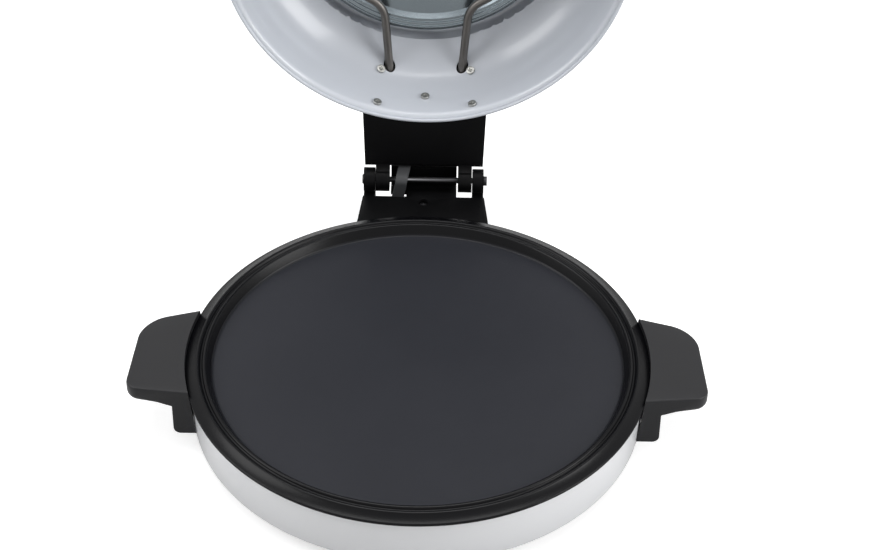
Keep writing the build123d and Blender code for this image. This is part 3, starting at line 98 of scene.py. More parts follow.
LID_T = 0.8
LID_SEAT_GAP = 0.4
LID_EDGE_R = 1.3
FLARE_R = 5.0
WALL_LOW_Z = 6.0
WALL_LEAN = 1.5
DOME_ARC_Z = 15.0
DOME_ARC_R = 50.0
CROWN_R = 118.0
CROWN_LEAN = 2.0
CROWN_Z = 72.0

DISH_T = 0.6
DISH_R = 106.3
DISH_RIM_Z = 55.5
DISH_STEP = 1.5
DISH_LAND = 98.0
DISH_FLOOR_Z = 62.5
DISH_SKIRT = 4.0

RING_R = 88.5
RING_Z = 49.0
TUBE_R = 3.25
LEG_HOLE_X = 29.1
LEG_LEAN = 4.7
LEG_BEND_R = 20.0
LEG_HOLE_R = 4.6
LEG_HOLE_LEN = 16.0
LEG_OUT = 16.0

HANDLE_REACH = 43.0
HANDLE_ROOT_W = 92.0
HANDLE_TAPER = 8.0
HANDLE_T = 12.5
HANDLE_SLOPE = 3.0
HANDLE_TIP_SLANT = 5.0
HANDLE_BACK_R = 20.0
HANDLE_FRONT_R = 10.0
HANDLE_TOP_ROUND = 1.4
HANDLE_LOW_ROUND = 5.0
HANDLE_TOP = 8.0
DROP_REACH = 8.5
DROP_BOTTOM = -31.0
DROP_CORNER_R = 5.0
GRIP_FIT = 0.3
GRIP_INSIDE = 2.0
GRIP_CUTS = 12

PLEAT_START = 19.0
PLEAT_PITCH = 5.2
PLEAT_DEPTH = 1.9
PLEAT_REACH = 7.0
PLEAT_HEIGHT = 9.0
PLEAT_SHARPNESS = 5.0

SLEEVE_W = 9.4
SLEEVE_T = 2.6
SLEEVE_ROUTE = [
    (-22.5, 193.0, -14.0),
    (-22.5, 200.0, -14.0),
    (-22.5, 204.9, -14.0),
    (-21.0, 204.9, -5.0),
    (-18.8, 204.9, 6.0),
    (-17.4, 205.2, 13.4),
    (-15.4, 220.8, 14.4),
    (-14.6, 222.8, 19.0),
    (-13.6, 222.8, 31.0),
]

# Stage in metres and watts: light levels, and lamps with their place, aim, size and power
FLOOR_HALF = 6.0
FLOOR_GLOW = 0.62
WORLD_LEVEL = 0.3
LAMPS = (
    ("left lamp", (-1.7, -0.1, 1.4), (0, 0.1, 0), (1.2, 1.2), 21),
    ("right lamp", (1.8, -0.5, 1.0), (0, 0.0, 0), (1.2, 1.2), 27),
    ("top lamp", (0.0, 0.5, 2.4), (0, 0.1, 0), (1.8, 1.2), 38),
)

# Camera fitted to the photograph, in millimetres, degrees and pixels
CAMERA_SPOT = (20.9, -1258.7, 1114.5)
CAMERA_HEADING = -0.325
CAMERA_DOWN = 39.317
CAMERA_ROLL = -0.868
PICTURE_WIDTH = 876
FOCAL_PIXELS = 2298

# ---------------------------------------------------------------- derived sizes and the lid's frame

INNER_BEAD_R = COOK_R + WALL_RUN
OUTER_BEAD_R = INNER_BEAD_R + BEAD_PITCH
GROOVE_R = (INNER_BEAD_R + OUTER_BEAD_R) / 2
RIM_R = OUTER_BEAD_R + FLANGE_RUN
FLANGE_UNDER = RIM_H - FLANGE_DROP - RIM_EDGE_T
BAND_TOP_R = RIM_R - BAND_INSET
BAND_BOTTOM_R = BAND_TOP_R - BAND_DRAFT
BAND_BOTTOM = FLANGE_UNDER - BAND_H

BEAD_ARC_R = (BEAD_HALF**2 + BEAD_DROP**2) / (2 * BEAD_DROP)
SEAT_REACH = BEAD_ARC_R + LID_EDGE_R + LID_SEAT_GAP
LID_Z = RIM_H - BEAD_ARC_R + sqrt(SEAT_REACH**2 - (BEAD_PITCH / 2) ** 2)
WALL_LOW_R = GROOVE_R - FLARE_R
DOME_ARC_X = WALL_LOW_R - WALL_LEAN - DOME_ARC_R

hinge_point = Vector((0, HINGE_Y, HINGE_Z))
lid_place = (
    Matrix.Translation(hinge_point)
    @ Matrix.Rotation(-radians(OPEN_ANGLE), 4, "X")
    @ Matrix.Translation(Vector((0, 0, LID_Z)) - hinge_point)
)
upright = Matrix.Identity(4)


def dome_radius(z):
    """Inner radius of the dome's wall at a height above the rolled edge."""
    if z < DOME_ARC_Z:
        return WALL_LOW_R - WALL_LEAN * (z - WALL_LOW_Z) / (DOME_ARC_Z - WALL_LOW_Z)
    return DOME_ARC_X + sqrt(DOME_ARC_R**2 - (z - DOME_ARC_Z) ** 2)


# ---------------------------------------------------------------- outlines


def arc(centre, radius, start, end, steps=10):
    """Points on an arc, angles in degrees from the first axis."""
    turns = [radians(start + (end - start) * i / steps) for i in range(steps + 1)]
    return [(centre[0] + radius * cos(a), centre[1] + radius * sin(a)) for a in turns]


def bead(left, top, right, steps=8):
    """An arc that starts at left, touches top and ends at right, all at known places."""
    half = (right[0] - left[0]) / 2
    rise = top[1] - left[1]
    radius = (half**2 + rise**2) / (2 * abs(rise))
    spread = degrees(asin(half / radius))
    side = 1 if rise > 0 else -1
    centre = (left[0] + half, top[1] - side * radius)
    return arc(centre, radius, side * (90 + spread), side * (90 - spread), steps)


def rounded(points, radius, steps=5):
    """An open outline whose inner corners are rounded."""
    outline = [points[0]]
    for before, corner, after in zip(points, points[1:], points[2:]):
        a = Vector(before) - Vector(corner)
        b = Vector(after) - Vector(corner)
        run = radius / tan(a.angle(b) / 2)
        start = Vector(corner) + a.normalized() * run
        end = Vector(corner) + b.normalized() * run
        for i in range(steps + 1):
            t = i / steps
            near = start.lerp(Vector(corner), t)
            far = Vector(corner).lerp(end, t)
            outline.append(tuple(near.lerp(far, t)))
    outline.append(points[-1])
    return outline


# ---------------------------------------------------------------- from bmesh to finished piece


def finish_piece(name, bm, body, finish, stands_for=(), place=upright, smooth_angle=35):
    """Turns a shape in millimetres into a piece that rides on a body."""
    bmesh.ops.remove_doubles(bm, verts=bm.verts, dist=0.0005)
    bmesh.ops.recalc_face_normals(bm, faces=bm.faces)
    bmesh.ops.transform(bm, matrix=Matrix.Scale(MM, 4) @ place, verts=bm.verts)
    mesh = bpy.data.meshes.new(name)
    bm.to_mesh(mesh)
    bm.free()
    mesh.shade_smooth()
    mesh.set_sharp_from_angle(angle=radians(smooth_angle))
    piece = bpy.data.objects.new(name, mesh)
    bpy.context.scene.collection.objects.link(piece)
    mesh.materials.append(finish)
    if stands_for:
        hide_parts(*stands_for)
    if body:
        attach(piece, body)
    return piece


def turned(outline, closed=True, steps=ROUND_STEPS):
    """A bmesh turned from an outline of (radius, height) points."""
    bm = bmesh.new()
    line = [bm.verts.new((r, 0, z)) for r, z in outline]
    pairs = list(zip(line, line[1:]))
    if closed:
        pairs.append((line[-1], line[0]))
    edges = [bm.edges.new(pair) for pair in pairs]
    bmesh.ops.spin(
        bm,
        geom=line + edges,
        cent=(0, 0, 0),
        axis=(0, 0, 1),
        angle=2 * pi,
        steps=steps,
        use_merge=True,
    )
    bmesh.ops.remove_doubles(bm, verts=bm.verts, dist=0.001)
    return bm


def cut_with(piece, cutters):
    """Takes the cutters' shapes out of a piece and keeps the result as its mesh."""
    for cutter in cutters:
        step = piece.modifiers.new("cut", "BOOLEAN")
        step.operation = "DIFFERENCE"
        step.solver = "EXACT"
        step.object = cutter
    bpy.context.view_layer.update()
    shown = piece.evaluated_get(bpy.context.evaluated_depsgraph_get())
    mesh = bpy.data.meshes.new_from_object(shown)
    piece.modifiers.clear()
    old = piece.data
    piece.data = mesh
    bpy.data.meshes.remove(old)
    for cutter in cutters:
        bpy.data.objects.remove(cutter)


def cutter_rod(centre, direction, radius, length, place):
    """A plain rod used only for cutting."""
    bm = bmesh.new()
    aim = Vector(direction).to_track_quat("Z", "Y").to_matrix().to_4x4()
    bmesh.ops.create_cone(
        bm,
        cap_ends=True,
        segments=40,
        radius1=radius,
        radius2=radius,
        depth=length,
        matrix=Matrix.Scale(MM, 4) @ place @ Matrix.Translation(centre) @ aim,
    )
    mesh = bpy.data.meshes.new("cutter")
    bm.to_mesh(mesh)
    bm.free()
    rod = bpy.data.objects.new("cutter", mesh)
    bpy.context.scene.collection.objects.link(rod)
    return rod


# ---------------------------------------------------------------- shared material effects


def tone(red, green, blue):
    """A display colour, 0 to 255, as the shader's linear colour."""
    parts = [c / 255 for c in (red, green, blue)]
    linear = [c / 12.92 if c <= 0.04045 else ((c + 0.055) / 1.055) ** 2.4 for c in parts]
    return (*linear, 1.0)


def node_of(tree, kind, **inputs):
    """A node with some of its sockets set by name."""
    node = tree.nodes.new(kind)
    for socket, value in inputs.items():
        node.inputs[socket.replace("_", " ")].default_value = value
    return node


def effect_group(name, sockets_in, sockets_out):
    """A shader node group with named float or colour sockets."""
    group = bpy.data.node_groups.new(name, "ShaderNodeTree")
    for label, kind, start in sockets_in:
        socket = group.interface.new_socket(name=label, in_out="INPUT", socket_type=kind)
        socket.default_value = start
    for label, kind in sockets_out:
        group.interface.new_socket(name=label, in_out="OUTPUT", socket_type=kind)
    return group, group.nodes.new("NodeGroupInput"), group.nodes.new("NodeGroupOutput")


def make_drift():
    """Slow variation of a colour and of a roughness over the surface."""
    group, given, result = effect_group(
        "finish drift",
        [
            ("Colour", "NodeSocketColor", (0.5, 0.5, 0.5, 1)),
            ("Depth", "NodeSocketFloat", 0.1),
            ("Roughness", "NodeSocketFloat", 0.4),
            ("Spread", "NodeSocketFloat", 0.1),
            ("Scale", "NodeSocketFloat", 12.0),
        ],
        [("Colour", "NodeSocketColor"), ("Roughness", "NodeSocketFloat")],
    )
    link = group.links.new
    where = group.nodes.new("ShaderNodeTexCoord")
    cloud = node_of(group, "ShaderNodeTexNoise", Detail=6.0, Roughness=0.6)
    link(where.outputs["Object"], cloud.inputs["Vector"])
    link(given.outputs["Scale"], cloud.inputs["Scale"])
    centred = group.nodes.new("ShaderNodeMath")
    centred.operation = "SUBTRACT"
    centred.inputs[1].default_value = 0.5
    link(cloud.outputs["Fac"], centred.inputs[0])
    shade = group.nodes.new("ShaderNodeMath")
    shade.operation = "MULTIPLY_ADD"
    shade.inputs[2].default_value = 1.0
    link(centred.outputs[0], shade.inputs[0])
    link(given.outputs["Depth"], shade.inputs[1])
    tinted = group.nodes.new("ShaderNodeVectorMath")
    tinted.operation = "SCALE"
    link(given.outputs["Colour"], tinted.inputs[0])
    link(shade.outputs[0], tinted.inputs["Scale"])
    gloss = group.nodes.new("ShaderNodeMath")
    gloss.operation = "MULTIPLY_ADD"
    link(centred.outputs[0], gloss.inputs[0])
    link(given.outputs["Spread"], gloss.inputs[1])
    link(given.outputs["Roughness"], gloss.inputs[2])
    link(tinted.outputs[0], result.inputs["Colour"])
    link(gloss.outputs[0], result.inputs["Roughness"])
    return group


def make_grain():
    """Height of a fine moulded, sprayed or cast grain with larger undulations under it."""
    group, given, result = effect_group(
        "surface grain",
        [
            ("Fine scale", "NodeSocketFloat", 900.0),
            ("Wave scale", "NodeSocketFloat", 60.0),
            ("Wave share", "NodeSocketFloat", 0.3),
        ],
        [("Height", "NodeSocketFloat")],
    )
    link = group.links.new
    where = group.nodes.new("ShaderNodeTexCoord")
    fine = node_of(group, "ShaderNodeTexNoise", Detail=3.0, Roughness=0.55)
    wave = node_of(group, "ShaderNodeTexNoise", Detail=2.0, Roughness=0.5)
    for field, size in ((fine, "Fine scale"), (wave, "Wave scale")):
        link(where.outputs["Object"], field.inputs["Vector"])
        link(given.outputs[size], field.inputs["Scale"])
    blend = group.nodes.new("ShaderNodeMix")
    blend.data_type = "FLOAT"
    link(given.outputs["Wave share"], blend.inputs["Factor"])
    link(fine.outputs["Fac"], blend.inputs["A"])
    link(wave.outputs["Fac"], blend.inputs["B"])
    link(blend.outputs["Result"], result.inputs["Height"])
    return group


def make_turning():
    """Height of fine rings left by turning or spinning, round the object's own Z."""
    group, given, result = effect_group(
        "turned rings",
        [("Rings per metre", "NodeSocketFloat", 900.0), ("Centre Y", "NodeSocketFloat", 0.0)],
        [("Height", "NodeSocketFloat")],
    )
    link = group.links.new
    where = group.nodes.new("ShaderNodeTexCoord")
    parts = group.nodes.new("ShaderNodeSeparateXYZ")
    link(where.outputs["Object"], parts.inputs[0])
    shifted = group.nodes.new("ShaderNodeMath")
    shifted.operation = "SUBTRACT"
    link(parts.outputs["Z"], shifted.inputs[0])
    link(given.outputs["Centre Y"], shifted.inputs[1])
    flat = group.nodes.new("ShaderNodeCombineXYZ")
    link(parts.outputs["X"], flat.inputs["X"])
    link(shifted.outputs[0], flat.inputs["Y"])
    far = group.nodes.new("ShaderNodeVectorMath")
    far.operation = "LENGTH"
    link(flat.outputs[0], far.inputs[0])
    scaled = group.nodes.new("ShaderNodeMath")
    scaled.operation = "MULTIPLY"
    link(far.outputs["Value"], scaled.inputs[0])
    link(given.outputs["Rings per metre"], scaled.inputs[1])
    rings = node_of(group, "ShaderNodeTexNoise", Scale=1.0, Detail=3.0)
    rings.noise_dimensions = "1D"
    link(scaled.outputs[0], rings.inputs["W"])
    link(rings.outputs["Fac"], result.inputs["Height"])
    return group


drift_group = make_drift()
grain_group = make_grain()
turning_group = make_turning()


def place_group(tree, group, **inputs):
    """A group node with its values set by name."""
    node = tree.nodes.new("ShaderNodeGroup")
    node.node_tree = group
    for socket, value in inputs.items():
        node.inputs[socket.replace("_", " ")].default_value = value
    return node


def finish_of(name, colour, roughness, depth=0.08, spread=0.08, patch=14.0, **shader_values):
    """A finish whose colour and gloss drift slowly over the surface."""
    material = bpy.data.materials.new(name)
    material.use_nodes = True
    tree = material.node_tree
    shader = tree.nodes["Principled BSDF"]
    for socket, value in shader_values.items():
        shader.inputs[socket.replace("_", " ")].default_value = value
    drift = place_group(
        tree, drift_group, Colour=colour, Depth=depth, Roughness=roughness, Spread=spread, Scale=patch
    )
    tree.links.new(drift.outputs["Colour"], shader.inputs["Base Color"])
    tree.links.new(drift.outputs["Roughness"], shader.inputs["Roughness"])
    return material, tree, shader


def add_grain(tree, shader, strength, distance, fine, wave, share):
    """Gives a finish a fine grain."""
    grain = place_group(tree, grain_group, Fine_scale=fine, Wave_scale=wave, Wave_share=share)
    bump = node_of(tree, "ShaderNodeBump", Strength=strength, Distance=distance)
    tree.links.new(grain.outputs["Height"], bump.inputs["Height"])
    tree.links.new(bump.outputs["Normal"], shader.inputs["Normal"])
    return bump


# ---------------------------------------------------------------- finishes


def nonstick_finish():
    """Black non-stick coating: satin cooking surface, glossier rim whose near-black colour is painted shade.
    """
    material, tree, shader = finish_of(
        "black non-stick", tone(36, 37, 42), 0.4, depth=0.25, spread=0.12, patch=9.0, Specular_IOR_Level=0.15
    )
    where = tree.nodes.new("ShaderNodeTexCoord")
    flat = node_of(tree, "ShaderNodeVectorMath")
    flat.operation = "MULTIPLY"
    flat.inputs[1].default_value = (1, 1, 0)
    far = tree.nodes.new("ShaderNodeVectorMath")
    far.operation = "LENGTH"
    rim = node_of(tree, "ShaderNodeMapRange")
    rim.inputs["From Min"].default_value = (COOK_R - 2) * MM
    rim.inputs["From Max"].default_value = (COOK_R + 1) * MM
    tree.links.new(where.outputs["Object"], flat.inputs[0])
    tree.links.new(flat.outputs[0], far.inputs[0])
    tree.links.new(far.outputs["Value"], rim.inputs["Value"])
    drift = tree.nodes["Group"]
    # The rim and the edge of the well get a near-black colour: painted shade for the groove and the rim's
    # walls.
    rim_painted_shade = tree.nodes.new("ShaderNodeMix")
    rim_painted_shade.data_type = "RGBA"
    rim_painted_shade.inputs["B"].default_value = tone(5, 5, 7)
    tree.links.new(rim.outputs["Result"], rim_painted_shade.inputs["Factor"])
    tree.links.new(drift.outputs["Colour"], rim_painted_shade.inputs["A"])
    tree.links.new(rim_painted_shade.outputs["Result"], shader.inputs["Base Color"])
    glossier = tree.nodes.new("ShaderNodeMix")
    glossier.data_type = "FLOAT"
    glossier.inputs["B"].default_value = 0.26
    tree.links.new(rim.outputs["Result"], glossier.inputs["Factor"])
    tree.links.new(drift.outputs["Roughness"], glossier.inputs["A"])
    tree.links.new(glossier.outputs["Result"], shader.inputs["Roughness"])
    add_grain(tree, shader, 0.35, 0.0002, 1500.0, 220.0, 0.35)
    return material


def paint_finish(name, colour, roughness):
    """Sprayed paint with a slight orange peel under a clear gloss."""
    material, tree, shader = finish_of(
        name, colour, roughness, depth=0.03, spread=0.06, patch=10.0, Coat_Weight=0.35, Coat_Roughness=0.12
    )
    add_grain(tree, shader, 0.12, 0.0001, 700.0, 160.0, 0.6)
    return material


def moulded_finish(name, colour, roughness, shine=0.25, strength=0.3):
    """Black moulded plastic with a fine spark-eroded grain."""
    material, tree, shader = finish_of(
        name, colour, roughness, depth=0.2, spread=0.1, patch=25.0, Specular_IOR_Level=shine
    )
    add_grain(tree, shader, strength, 0.0002, 1800.0, 120.0, 0.2)
    return material


def heater_finish():
    """Steel heater sheath, browned by heat in slow bands."""
    material, tree, shader = finish_of(
        "heater sheath", tone(104, 101, 98), 0.36, depth=0.35, spread=0.2, patch=45.0, Metallic=0.85
    )
    add_grain(tree, shader, 0.2, 0.0001, 1200.0, 90.0, 0.4)
    return material


def dish_finish():
    """Polished sheet with faint turning rings."""
    material, tree, shader = finish_of(
        "polished dish", tone(136, 145, 150), 0.24, depth=0.05, spread=0.06, patch=18.0, Metallic=1.0
    )
    rings = place_group(tree, turning_group, Rings_per_metre=1400.0, Centre_Y=lid_place.translation.z * MM)
    bump = node_of(tree, "ShaderNodeBump", Strength=0.12, Distance=0.00004)
    tree.links.new(rings.outputs["Height"], bump.inputs["Height"])
    tree.links.new(bump.outputs["Normal"], shader.inputs["Normal"])
    return material


def metal_finish(name, colour, roughness, patch=80.0):
    """Bare or plated small metal parts."""
    material, tree, shader = finish_of(
        name, colour, roughness, depth=0.15, spread=0.2, patch=patch, Metallic=1.0
    )
    add_grain(tree, shader, 0.15, 0.0001, 2200.0, 400.0, 0.3)
    return material


def soft_finish(name, colour, roughness, depth=0.15):
    """Rubber, ceramic and insulation."""
    material, tree, shader = finish_of(name, colour, roughness, depth=depth, spread=0.1, patch=60.0)
    add_grain(tree, shader, 0.25, 0.0002, 900.0, 200.0, 0.4)
    return material


finishes = {
    "nonstick": nonstick_finish(),
    "band_paint": paint_finish("pale band paint", tone(214, 215, 217), 0.36),
    "dome_paint": paint_finish("pale dome paint", tone(203, 207, 214), 0.3),
    "cover_paint": moulded_finish("black cover paint", tone(34, 34, 35), 0.5),
    "grip_black": moulded_finish("black grip plastic", tone(28, 28, 30), 0.4),
    # The hinge parts' own black is darkened further than the other black plastics, as painted shade for
    # faces that sit in shade.
    "hinge_black": moulded_finish("black hinge plastic, shade-darkened", tone(9, 9, 10), 0.45, shine=0.08),
    "foot_rubber": soft_finish("foot rubber", tone(32, 32, 32), 0.75),
    "heater_steel": heater_finish(),
    "sheet_steel": metal_finish("aluminised sheet", tone(176, 176, 174), 0.38),
    "polished_dish": dish_finish(),
    "zinc_steel": metal_finish("zinc-plated steel", tone(172, 172, 168), 0.34),
    "dark_steel": metal_finish("blackened steel", tone(74, 74, 76), 0.36),
    "ceramic": soft_finish("glazed ceramic", tone(228, 224, 212), 0.3),
    "gland_plastic": moulded_finish("gland nylon", tone(28, 28, 29), 0.45),
    "sleeve_grey": soft_finish("grey lead sleeve", tone(48, 49, 51), 0.6),
    "lead_insulation": soft_finish("lead insulation", tone(176, 172, 154), 0.55),
}
slot_of = {row["node"]: row["material_slot"] for row in frame["record"]["subparts"]}
for node_name, cad_node in nodes.items():
    cad_node.data.materials.clear()
    cad_node.data.materials.append(finishes[slot_of[node_name]])


def round_edges(bm, edges, radius, steps):
    """Rounds chosen edges."""
    bmesh.ops.bevel(
        bm,
        geom=edges,
        offset=radius,
        offset_type="OFFSET",
        affect="EDGES",
        segments=steps,
        profile=0.5,
        material=-1,
        clamp_overlap=True,
    )


# ---------------------------------------------------------------- cooking plate and band


def build_plate():
    """Cooking plate with its well and the double bead round the rim."""
    high = RIM_H - BEAD_DROP
    inner_foot = (INNER_BEAD_R - BEAD_HALF, high)
    inner_end = (INNER_BEAD_R + BEAD_HALF, high)
    outer_start = (OUTER_BEAD_R - BEAD_HALF, high)
    outer_end = (OUTER_BEAD_R + BEAD_HALF, high)
    edge_round = RIM_EDGE_T / 2
    edge_centre = (RIM_R - edge_round, FLANGE_UNDER + edge_round)
    well = [(radius, 0) for radius in (0, 40, 80, 115, 140)]
    outline = well + rounded([(146, 0), (COOK_R, 0), inner_foot], WELL_FILLET)[:-1]
    outline += bead(inner_foot, (INNER_BEAD_R, RIM_H), inner_end)
    outline += bead(inner_end, (GROOVE_R, RIM_H - GROOVE_DEPTH), outer_start)[1:]
    outline += bead(outer_start, (OUTER_BEAD_R, RIM_H), outer_end)[1:]
    outline += arc(edge_centre, edge_round, 80, -90)
    outline += [
        (INNER_BEAD_R + BEAD_HALF, FLANGE_UNDER),
        (COOK_R + BEAD_HALF, -PLATE_T),
        (0, -PLATE_T),
    ]
    bm = turned(outline)
    return finish_piece(
        "plate_and_rim", bm, "base", finishes["nonstick"], ("cooking_plate",), smooth_angle=50
    )


def build_band():
    """Pale band with its turned-in lips."""
    outside = rounded(
        [
            (BAND_TOP_R - BAND_LIP, FLANGE_UNDER),
            (BAND_TOP_R, FLANGE_UNDER),
            (BAND_BOTTOM_R, BAND_BOTTOM),
            (BAND_BOTTOM_R - BAND_LIP, BAND_BOTTOM),
        ],
        BAND_CORNER,
    )
    inside = rounded(
        [
            (BAND_BOTTOM_R - BAND_LIP, BAND_BOTTOM + BAND_T),
            (BAND_BOTTOM_R - BAND_T, BAND_BOTTOM + BAND_T),
            (BAND_TOP_R - BAND_T, FLANGE_UNDER - BAND_T),
            (BAND_TOP_R - BAND_LIP, FLANGE_UNDER - BAND_T),
        ],
        BAND_CORNER - BAND_T,
    )
    bm = turned(outside + inside)
    return finish_piece(
        "pale_band", bm, "base", finishes["band_paint"], ("base_shell",), smooth_angle=50
    )


# ---------------------------------------------------------------- side handles


def build_handle(name, side):
    """A moulded grip with a drop beside the band."""
    root_x = BAND_TOP_R + GRIP_FIT
    tip_x = root_x + HANDLE_REACH
    drop_x = BAND_TOP_R + DROP_REACH
    grip_low = HANDLE_TOP - HANDLE_T
    inner_x = sqrt(BAND_BOTTOM_R**2 - (HANDLE_ROOT_W / 2) ** 2) - GRIP_INSIDE
    half = HANDLE_ROOT_W / 2
    bm = bmesh.new()
    section = [
        (inner_x, HANDLE_TOP),
        (tip_x, HANDLE_TOP - HANDLE_SLOPE),
        (tip_x, grip_low - HANDLE_SLOPE),
        (drop_x, grip_low - HANDLE_SLOPE * DROP_REACH / HANDLE_REACH),
        (drop_x, DROP_BOTTOM),
        (inner_x, DROP_BOTTOM),
    ]
    corners = [bm.verts.new((x, -half, z)) for x, z in section]
    end = bm.faces.new(corners)
    grown = bmesh.ops.extrude_face_region(bm, geom=[end])
    moved = [item for item in grown["geom"] if isinstance(item, bmesh.types.BMVert)]
    bmesh.ops.translate(bm, verts=moved, vec=(0, HANDLE_ROOT_W, 0))
    for corner in bm.verts:
        if corner.co.x > drop_x + 1:
            if corner.co.y > 0:
                corner.co.x -= HANDLE_TIP_SLANT
            corner.co.y -= HANDLE_TAPER * corner.co.y / half
    bmesh.ops.recalc_face_normals(bm, faces=bm.faces)

    def pick(test):
        return [edge for edge in bm.edges if all(test(v.co) for v in edge.verts)]

    for end, radius in ((1, HANDLE_BACK_R), (-1, HANDLE_FRONT_R)):
        corner_edges = pick(lambda p: p.x > drop_x + 12 and p.y * end > half - HANDLE_TAPER - 1)
        round_edges(bm, corner_edges, radius, 10)
    under = [
        e
        for e in pick(lambda p: p.x > root_x + 1 and p.z < HANDLE_TOP - HANDLE_T * 0.6)
        if e.calc_face_angle(0) > 0.5 and min(v.co.z for v in e.verts) > DROP_BOTTOM + 5
        and max(v.co.x for v in e.verts) > drop_x + 1
    ]
    round_edges(bm, under, HANDLE_LOW_ROUND, 5)
    upper = [
        e
        for e in pick(lambda p: p.z > HANDLE_TOP - HANDLE_SLOPE - 0.5)
        if e.calc_face_angle(0) > 0.5 and max(v.co.x for v in e.verts) > inner_x + 1
    ]
    round_edges(bm, upper, HANDLE_TOP_ROUND, 4)
    drop_edges = [
        e
        for e in pick(lambda p: p.z < grip_low - 1)
        if e.calc_face_angle(0) > 1 and min(v.co.x for v in e.verts) > drop_x - 0.1
        and max(v.co.x for v in e.verts) < drop_x + 0.1
    ]
    round_edges(bm, drop_edges, DROP_CORNER_R, 6)
    # The inner face follows the band
    for i in range(1, GRIP_CUTS):
        y = -half + HANDLE_ROOT_W * i / GRIP_CUTS
        bmesh.ops.bisect_plane(
            bm, geom=bm.verts[:] + bm.edges[:] + bm.faces[:], plane_co=(0, y, 0), plane_no=(0, 1, 0)
        )
    for corner in bm.verts:
        if corner.co.x < inner_x + 0.5:
            band_r = BAND_BOTTOM_R + BAND_DRAFT * (corner.co.z - BAND_BOTTOM) / BAND_H
            corner.co.x = sqrt(max(band_r, BAND_BOTTOM_R) ** 2 - corner.co.y**2) + 0.1
            if corner.co.z > FLANGE_UNDER:
                corner.co.x = sqrt((RIM_R + 0.2) ** 2 - corner.co.y**2)
    if side < 0:
        bmesh.ops.scale(bm, vec=(-1, 1, 1), verts=bm.verts)
    node = "right_handle" if side > 0 else "left_handle"
    return finish_piece(name, bm, "base", finishes["grip_black"], (node,), smooth_angle=32)


# ---------------------------------------------------------------- lid dome


def pleat(angle):
    """How far the crown's step is drawn in at an angle from the rear centre line."""
    away = abs(angle)
    if away < PLEAT_START:
        return 0.0
    phase = ((away - PLEAT_START) % PLEAT_PITCH) / PLEAT_PITCH
    return PLEAT_DEPTH * max(0.0, 1 - PLEAT_SHARPNESS * abs(phase - 0.5)) ** 2


def dome_side(grow):
    """Dome outline from the crown's centre to the flared edge, grown by a wall thickness."""
    foot_r = CROWN_R + grow
    arc_r = DOME_ARC_R + grow
    foot_z = DOME_ARC_Z + sqrt(arc_r**2 - (foot_r - DOME_ARC_X) ** 2)
    climb = degrees(asin((foot_z - DOME_ARC_Z) / arc_r))
    crown_z = CROWN_Z + grow
    line = [(radius, crown_z) for radius in (0, 30, 60, 85, 105)]
    line += rounded([(110, crown_z), (foot_r - CROWN_LEAN, crown_z), (foot_r, foot_z + 1)], 2.5)
    line += arc((DOME_ARC_X, DOME_ARC_Z), arc_r, climb, 0, 28)
    line += arc((GROOVE_R, WALL_LOW_Z), FLARE_R - grow, 180, 270, 10)
    return line


def curl_edge():
    """The rolled wire edge, from the inside of the flare round to its outside."""
    return arc((GROOVE_R, 0), LID_EDGE_R, 140, 400, 18)


def build_dome():
    """Single-skin dome with a raised crown and a rolled edge."""
    inside = dome_side(0)
    outside = dome_side(LID_T)
    bm = turned(inside[:-1] + curl_edge() + list(reversed(outside[:-1])), closed=False, steps=360)
    low = DOME_ARC_Z + sqrt(DOME_ARC_R**2 - (CROWN_R - DOME_ARC_X) ** 2)
    for corner in bm.verts:
        radius = hypot(corner.co.x, corner.co.y)
        near = max(0.0, 1 - abs(radius - CROWN_R) / PLEAT_REACH)
        near *= max(0.0, 1 - abs(corner.co.z - low) / PLEAT_HEIGHT)
        if near > 0:
            angle = degrees(atan2(corner.co.x, corner.co.y))
            corner.co.x -= corner.co.x / radius * pleat(angle) * near
            corner.co.y -= corner.co.y / radius * pleat(angle) * near
    dome = finish_piece(
        "dome", bm, "lid", finishes["dome_paint"], ("lid_shell",), lid_place, smooth_angle=40
    )
    wall_y = sqrt(dome_radius(RING_Z) ** 2 - LEG_HOLE_X**2)
    lean = radians(LEG_LEAN)
    cutters = []
    for side in (-1, 1):
        way_out = (-side * sin(lean), cos(lean), 0)
        hole = (side * LEG_HOLE_X, wall_y, RING_Z)
        cutters.append(cutter_rod(hole, way_out, LEG_HOLE_R, LEG_HOLE_LEN, lid_place))
    cut_with(dome, cutters)
    dome.data.shade_smooth()
    dome.data.set_sharp_from_angle(angle=radians(40))
    return dome


# ---------------------------------------------------------------- reflector and upper heater


def build_dish():
    """Polished dish with two steps round its rim."""
    step_run = (DISH_R - DISH_LAND - 3) / 2
    face = [
        (0, DISH_FLOOR_Z + 1),
        (40, DISH_FLOOR_Z + 0.6),
        (DISH_LAND - 3, DISH_FLOOR_Z),
        (DISH_LAND, DISH_RIM_Z + 2 * DISH_STEP),
        (DISH_LAND + step_run, DISH_RIM_Z + 2 * DISH_STEP),
        (DISH_LAND + step_run, DISH_RIM_Z + DISH_STEP),
        (DISH_LAND + 2 * step_run, DISH_RIM_Z + DISH_STEP),
        (DISH_LAND + 2 * step_run, DISH_RIM_Z),
        (DISH_R, DISH_RIM_Z),
        (DISH_R, DISH_RIM_Z + DISH_SKIRT),
    ]
    front = rounded(face, 0.5, 4)
    back = [(r + (0 if i == 0 else DISH_T * 0.4), z + DISH_T) for i, (r, z) in enumerate(front[:-8])]
    back.append((DISH_R - DISH_T, DISH_RIM_Z + DISH_T))
    back.append((DISH_R - DISH_T, DISH_RIM_Z + DISH_SKIRT))
    bm = turned(front + list(reversed(back)), closed=False)
    return finish_piece(
        "reflector", bm, "lid", finishes["polished_dish"], ("reflector_dish",), lid_place
    )


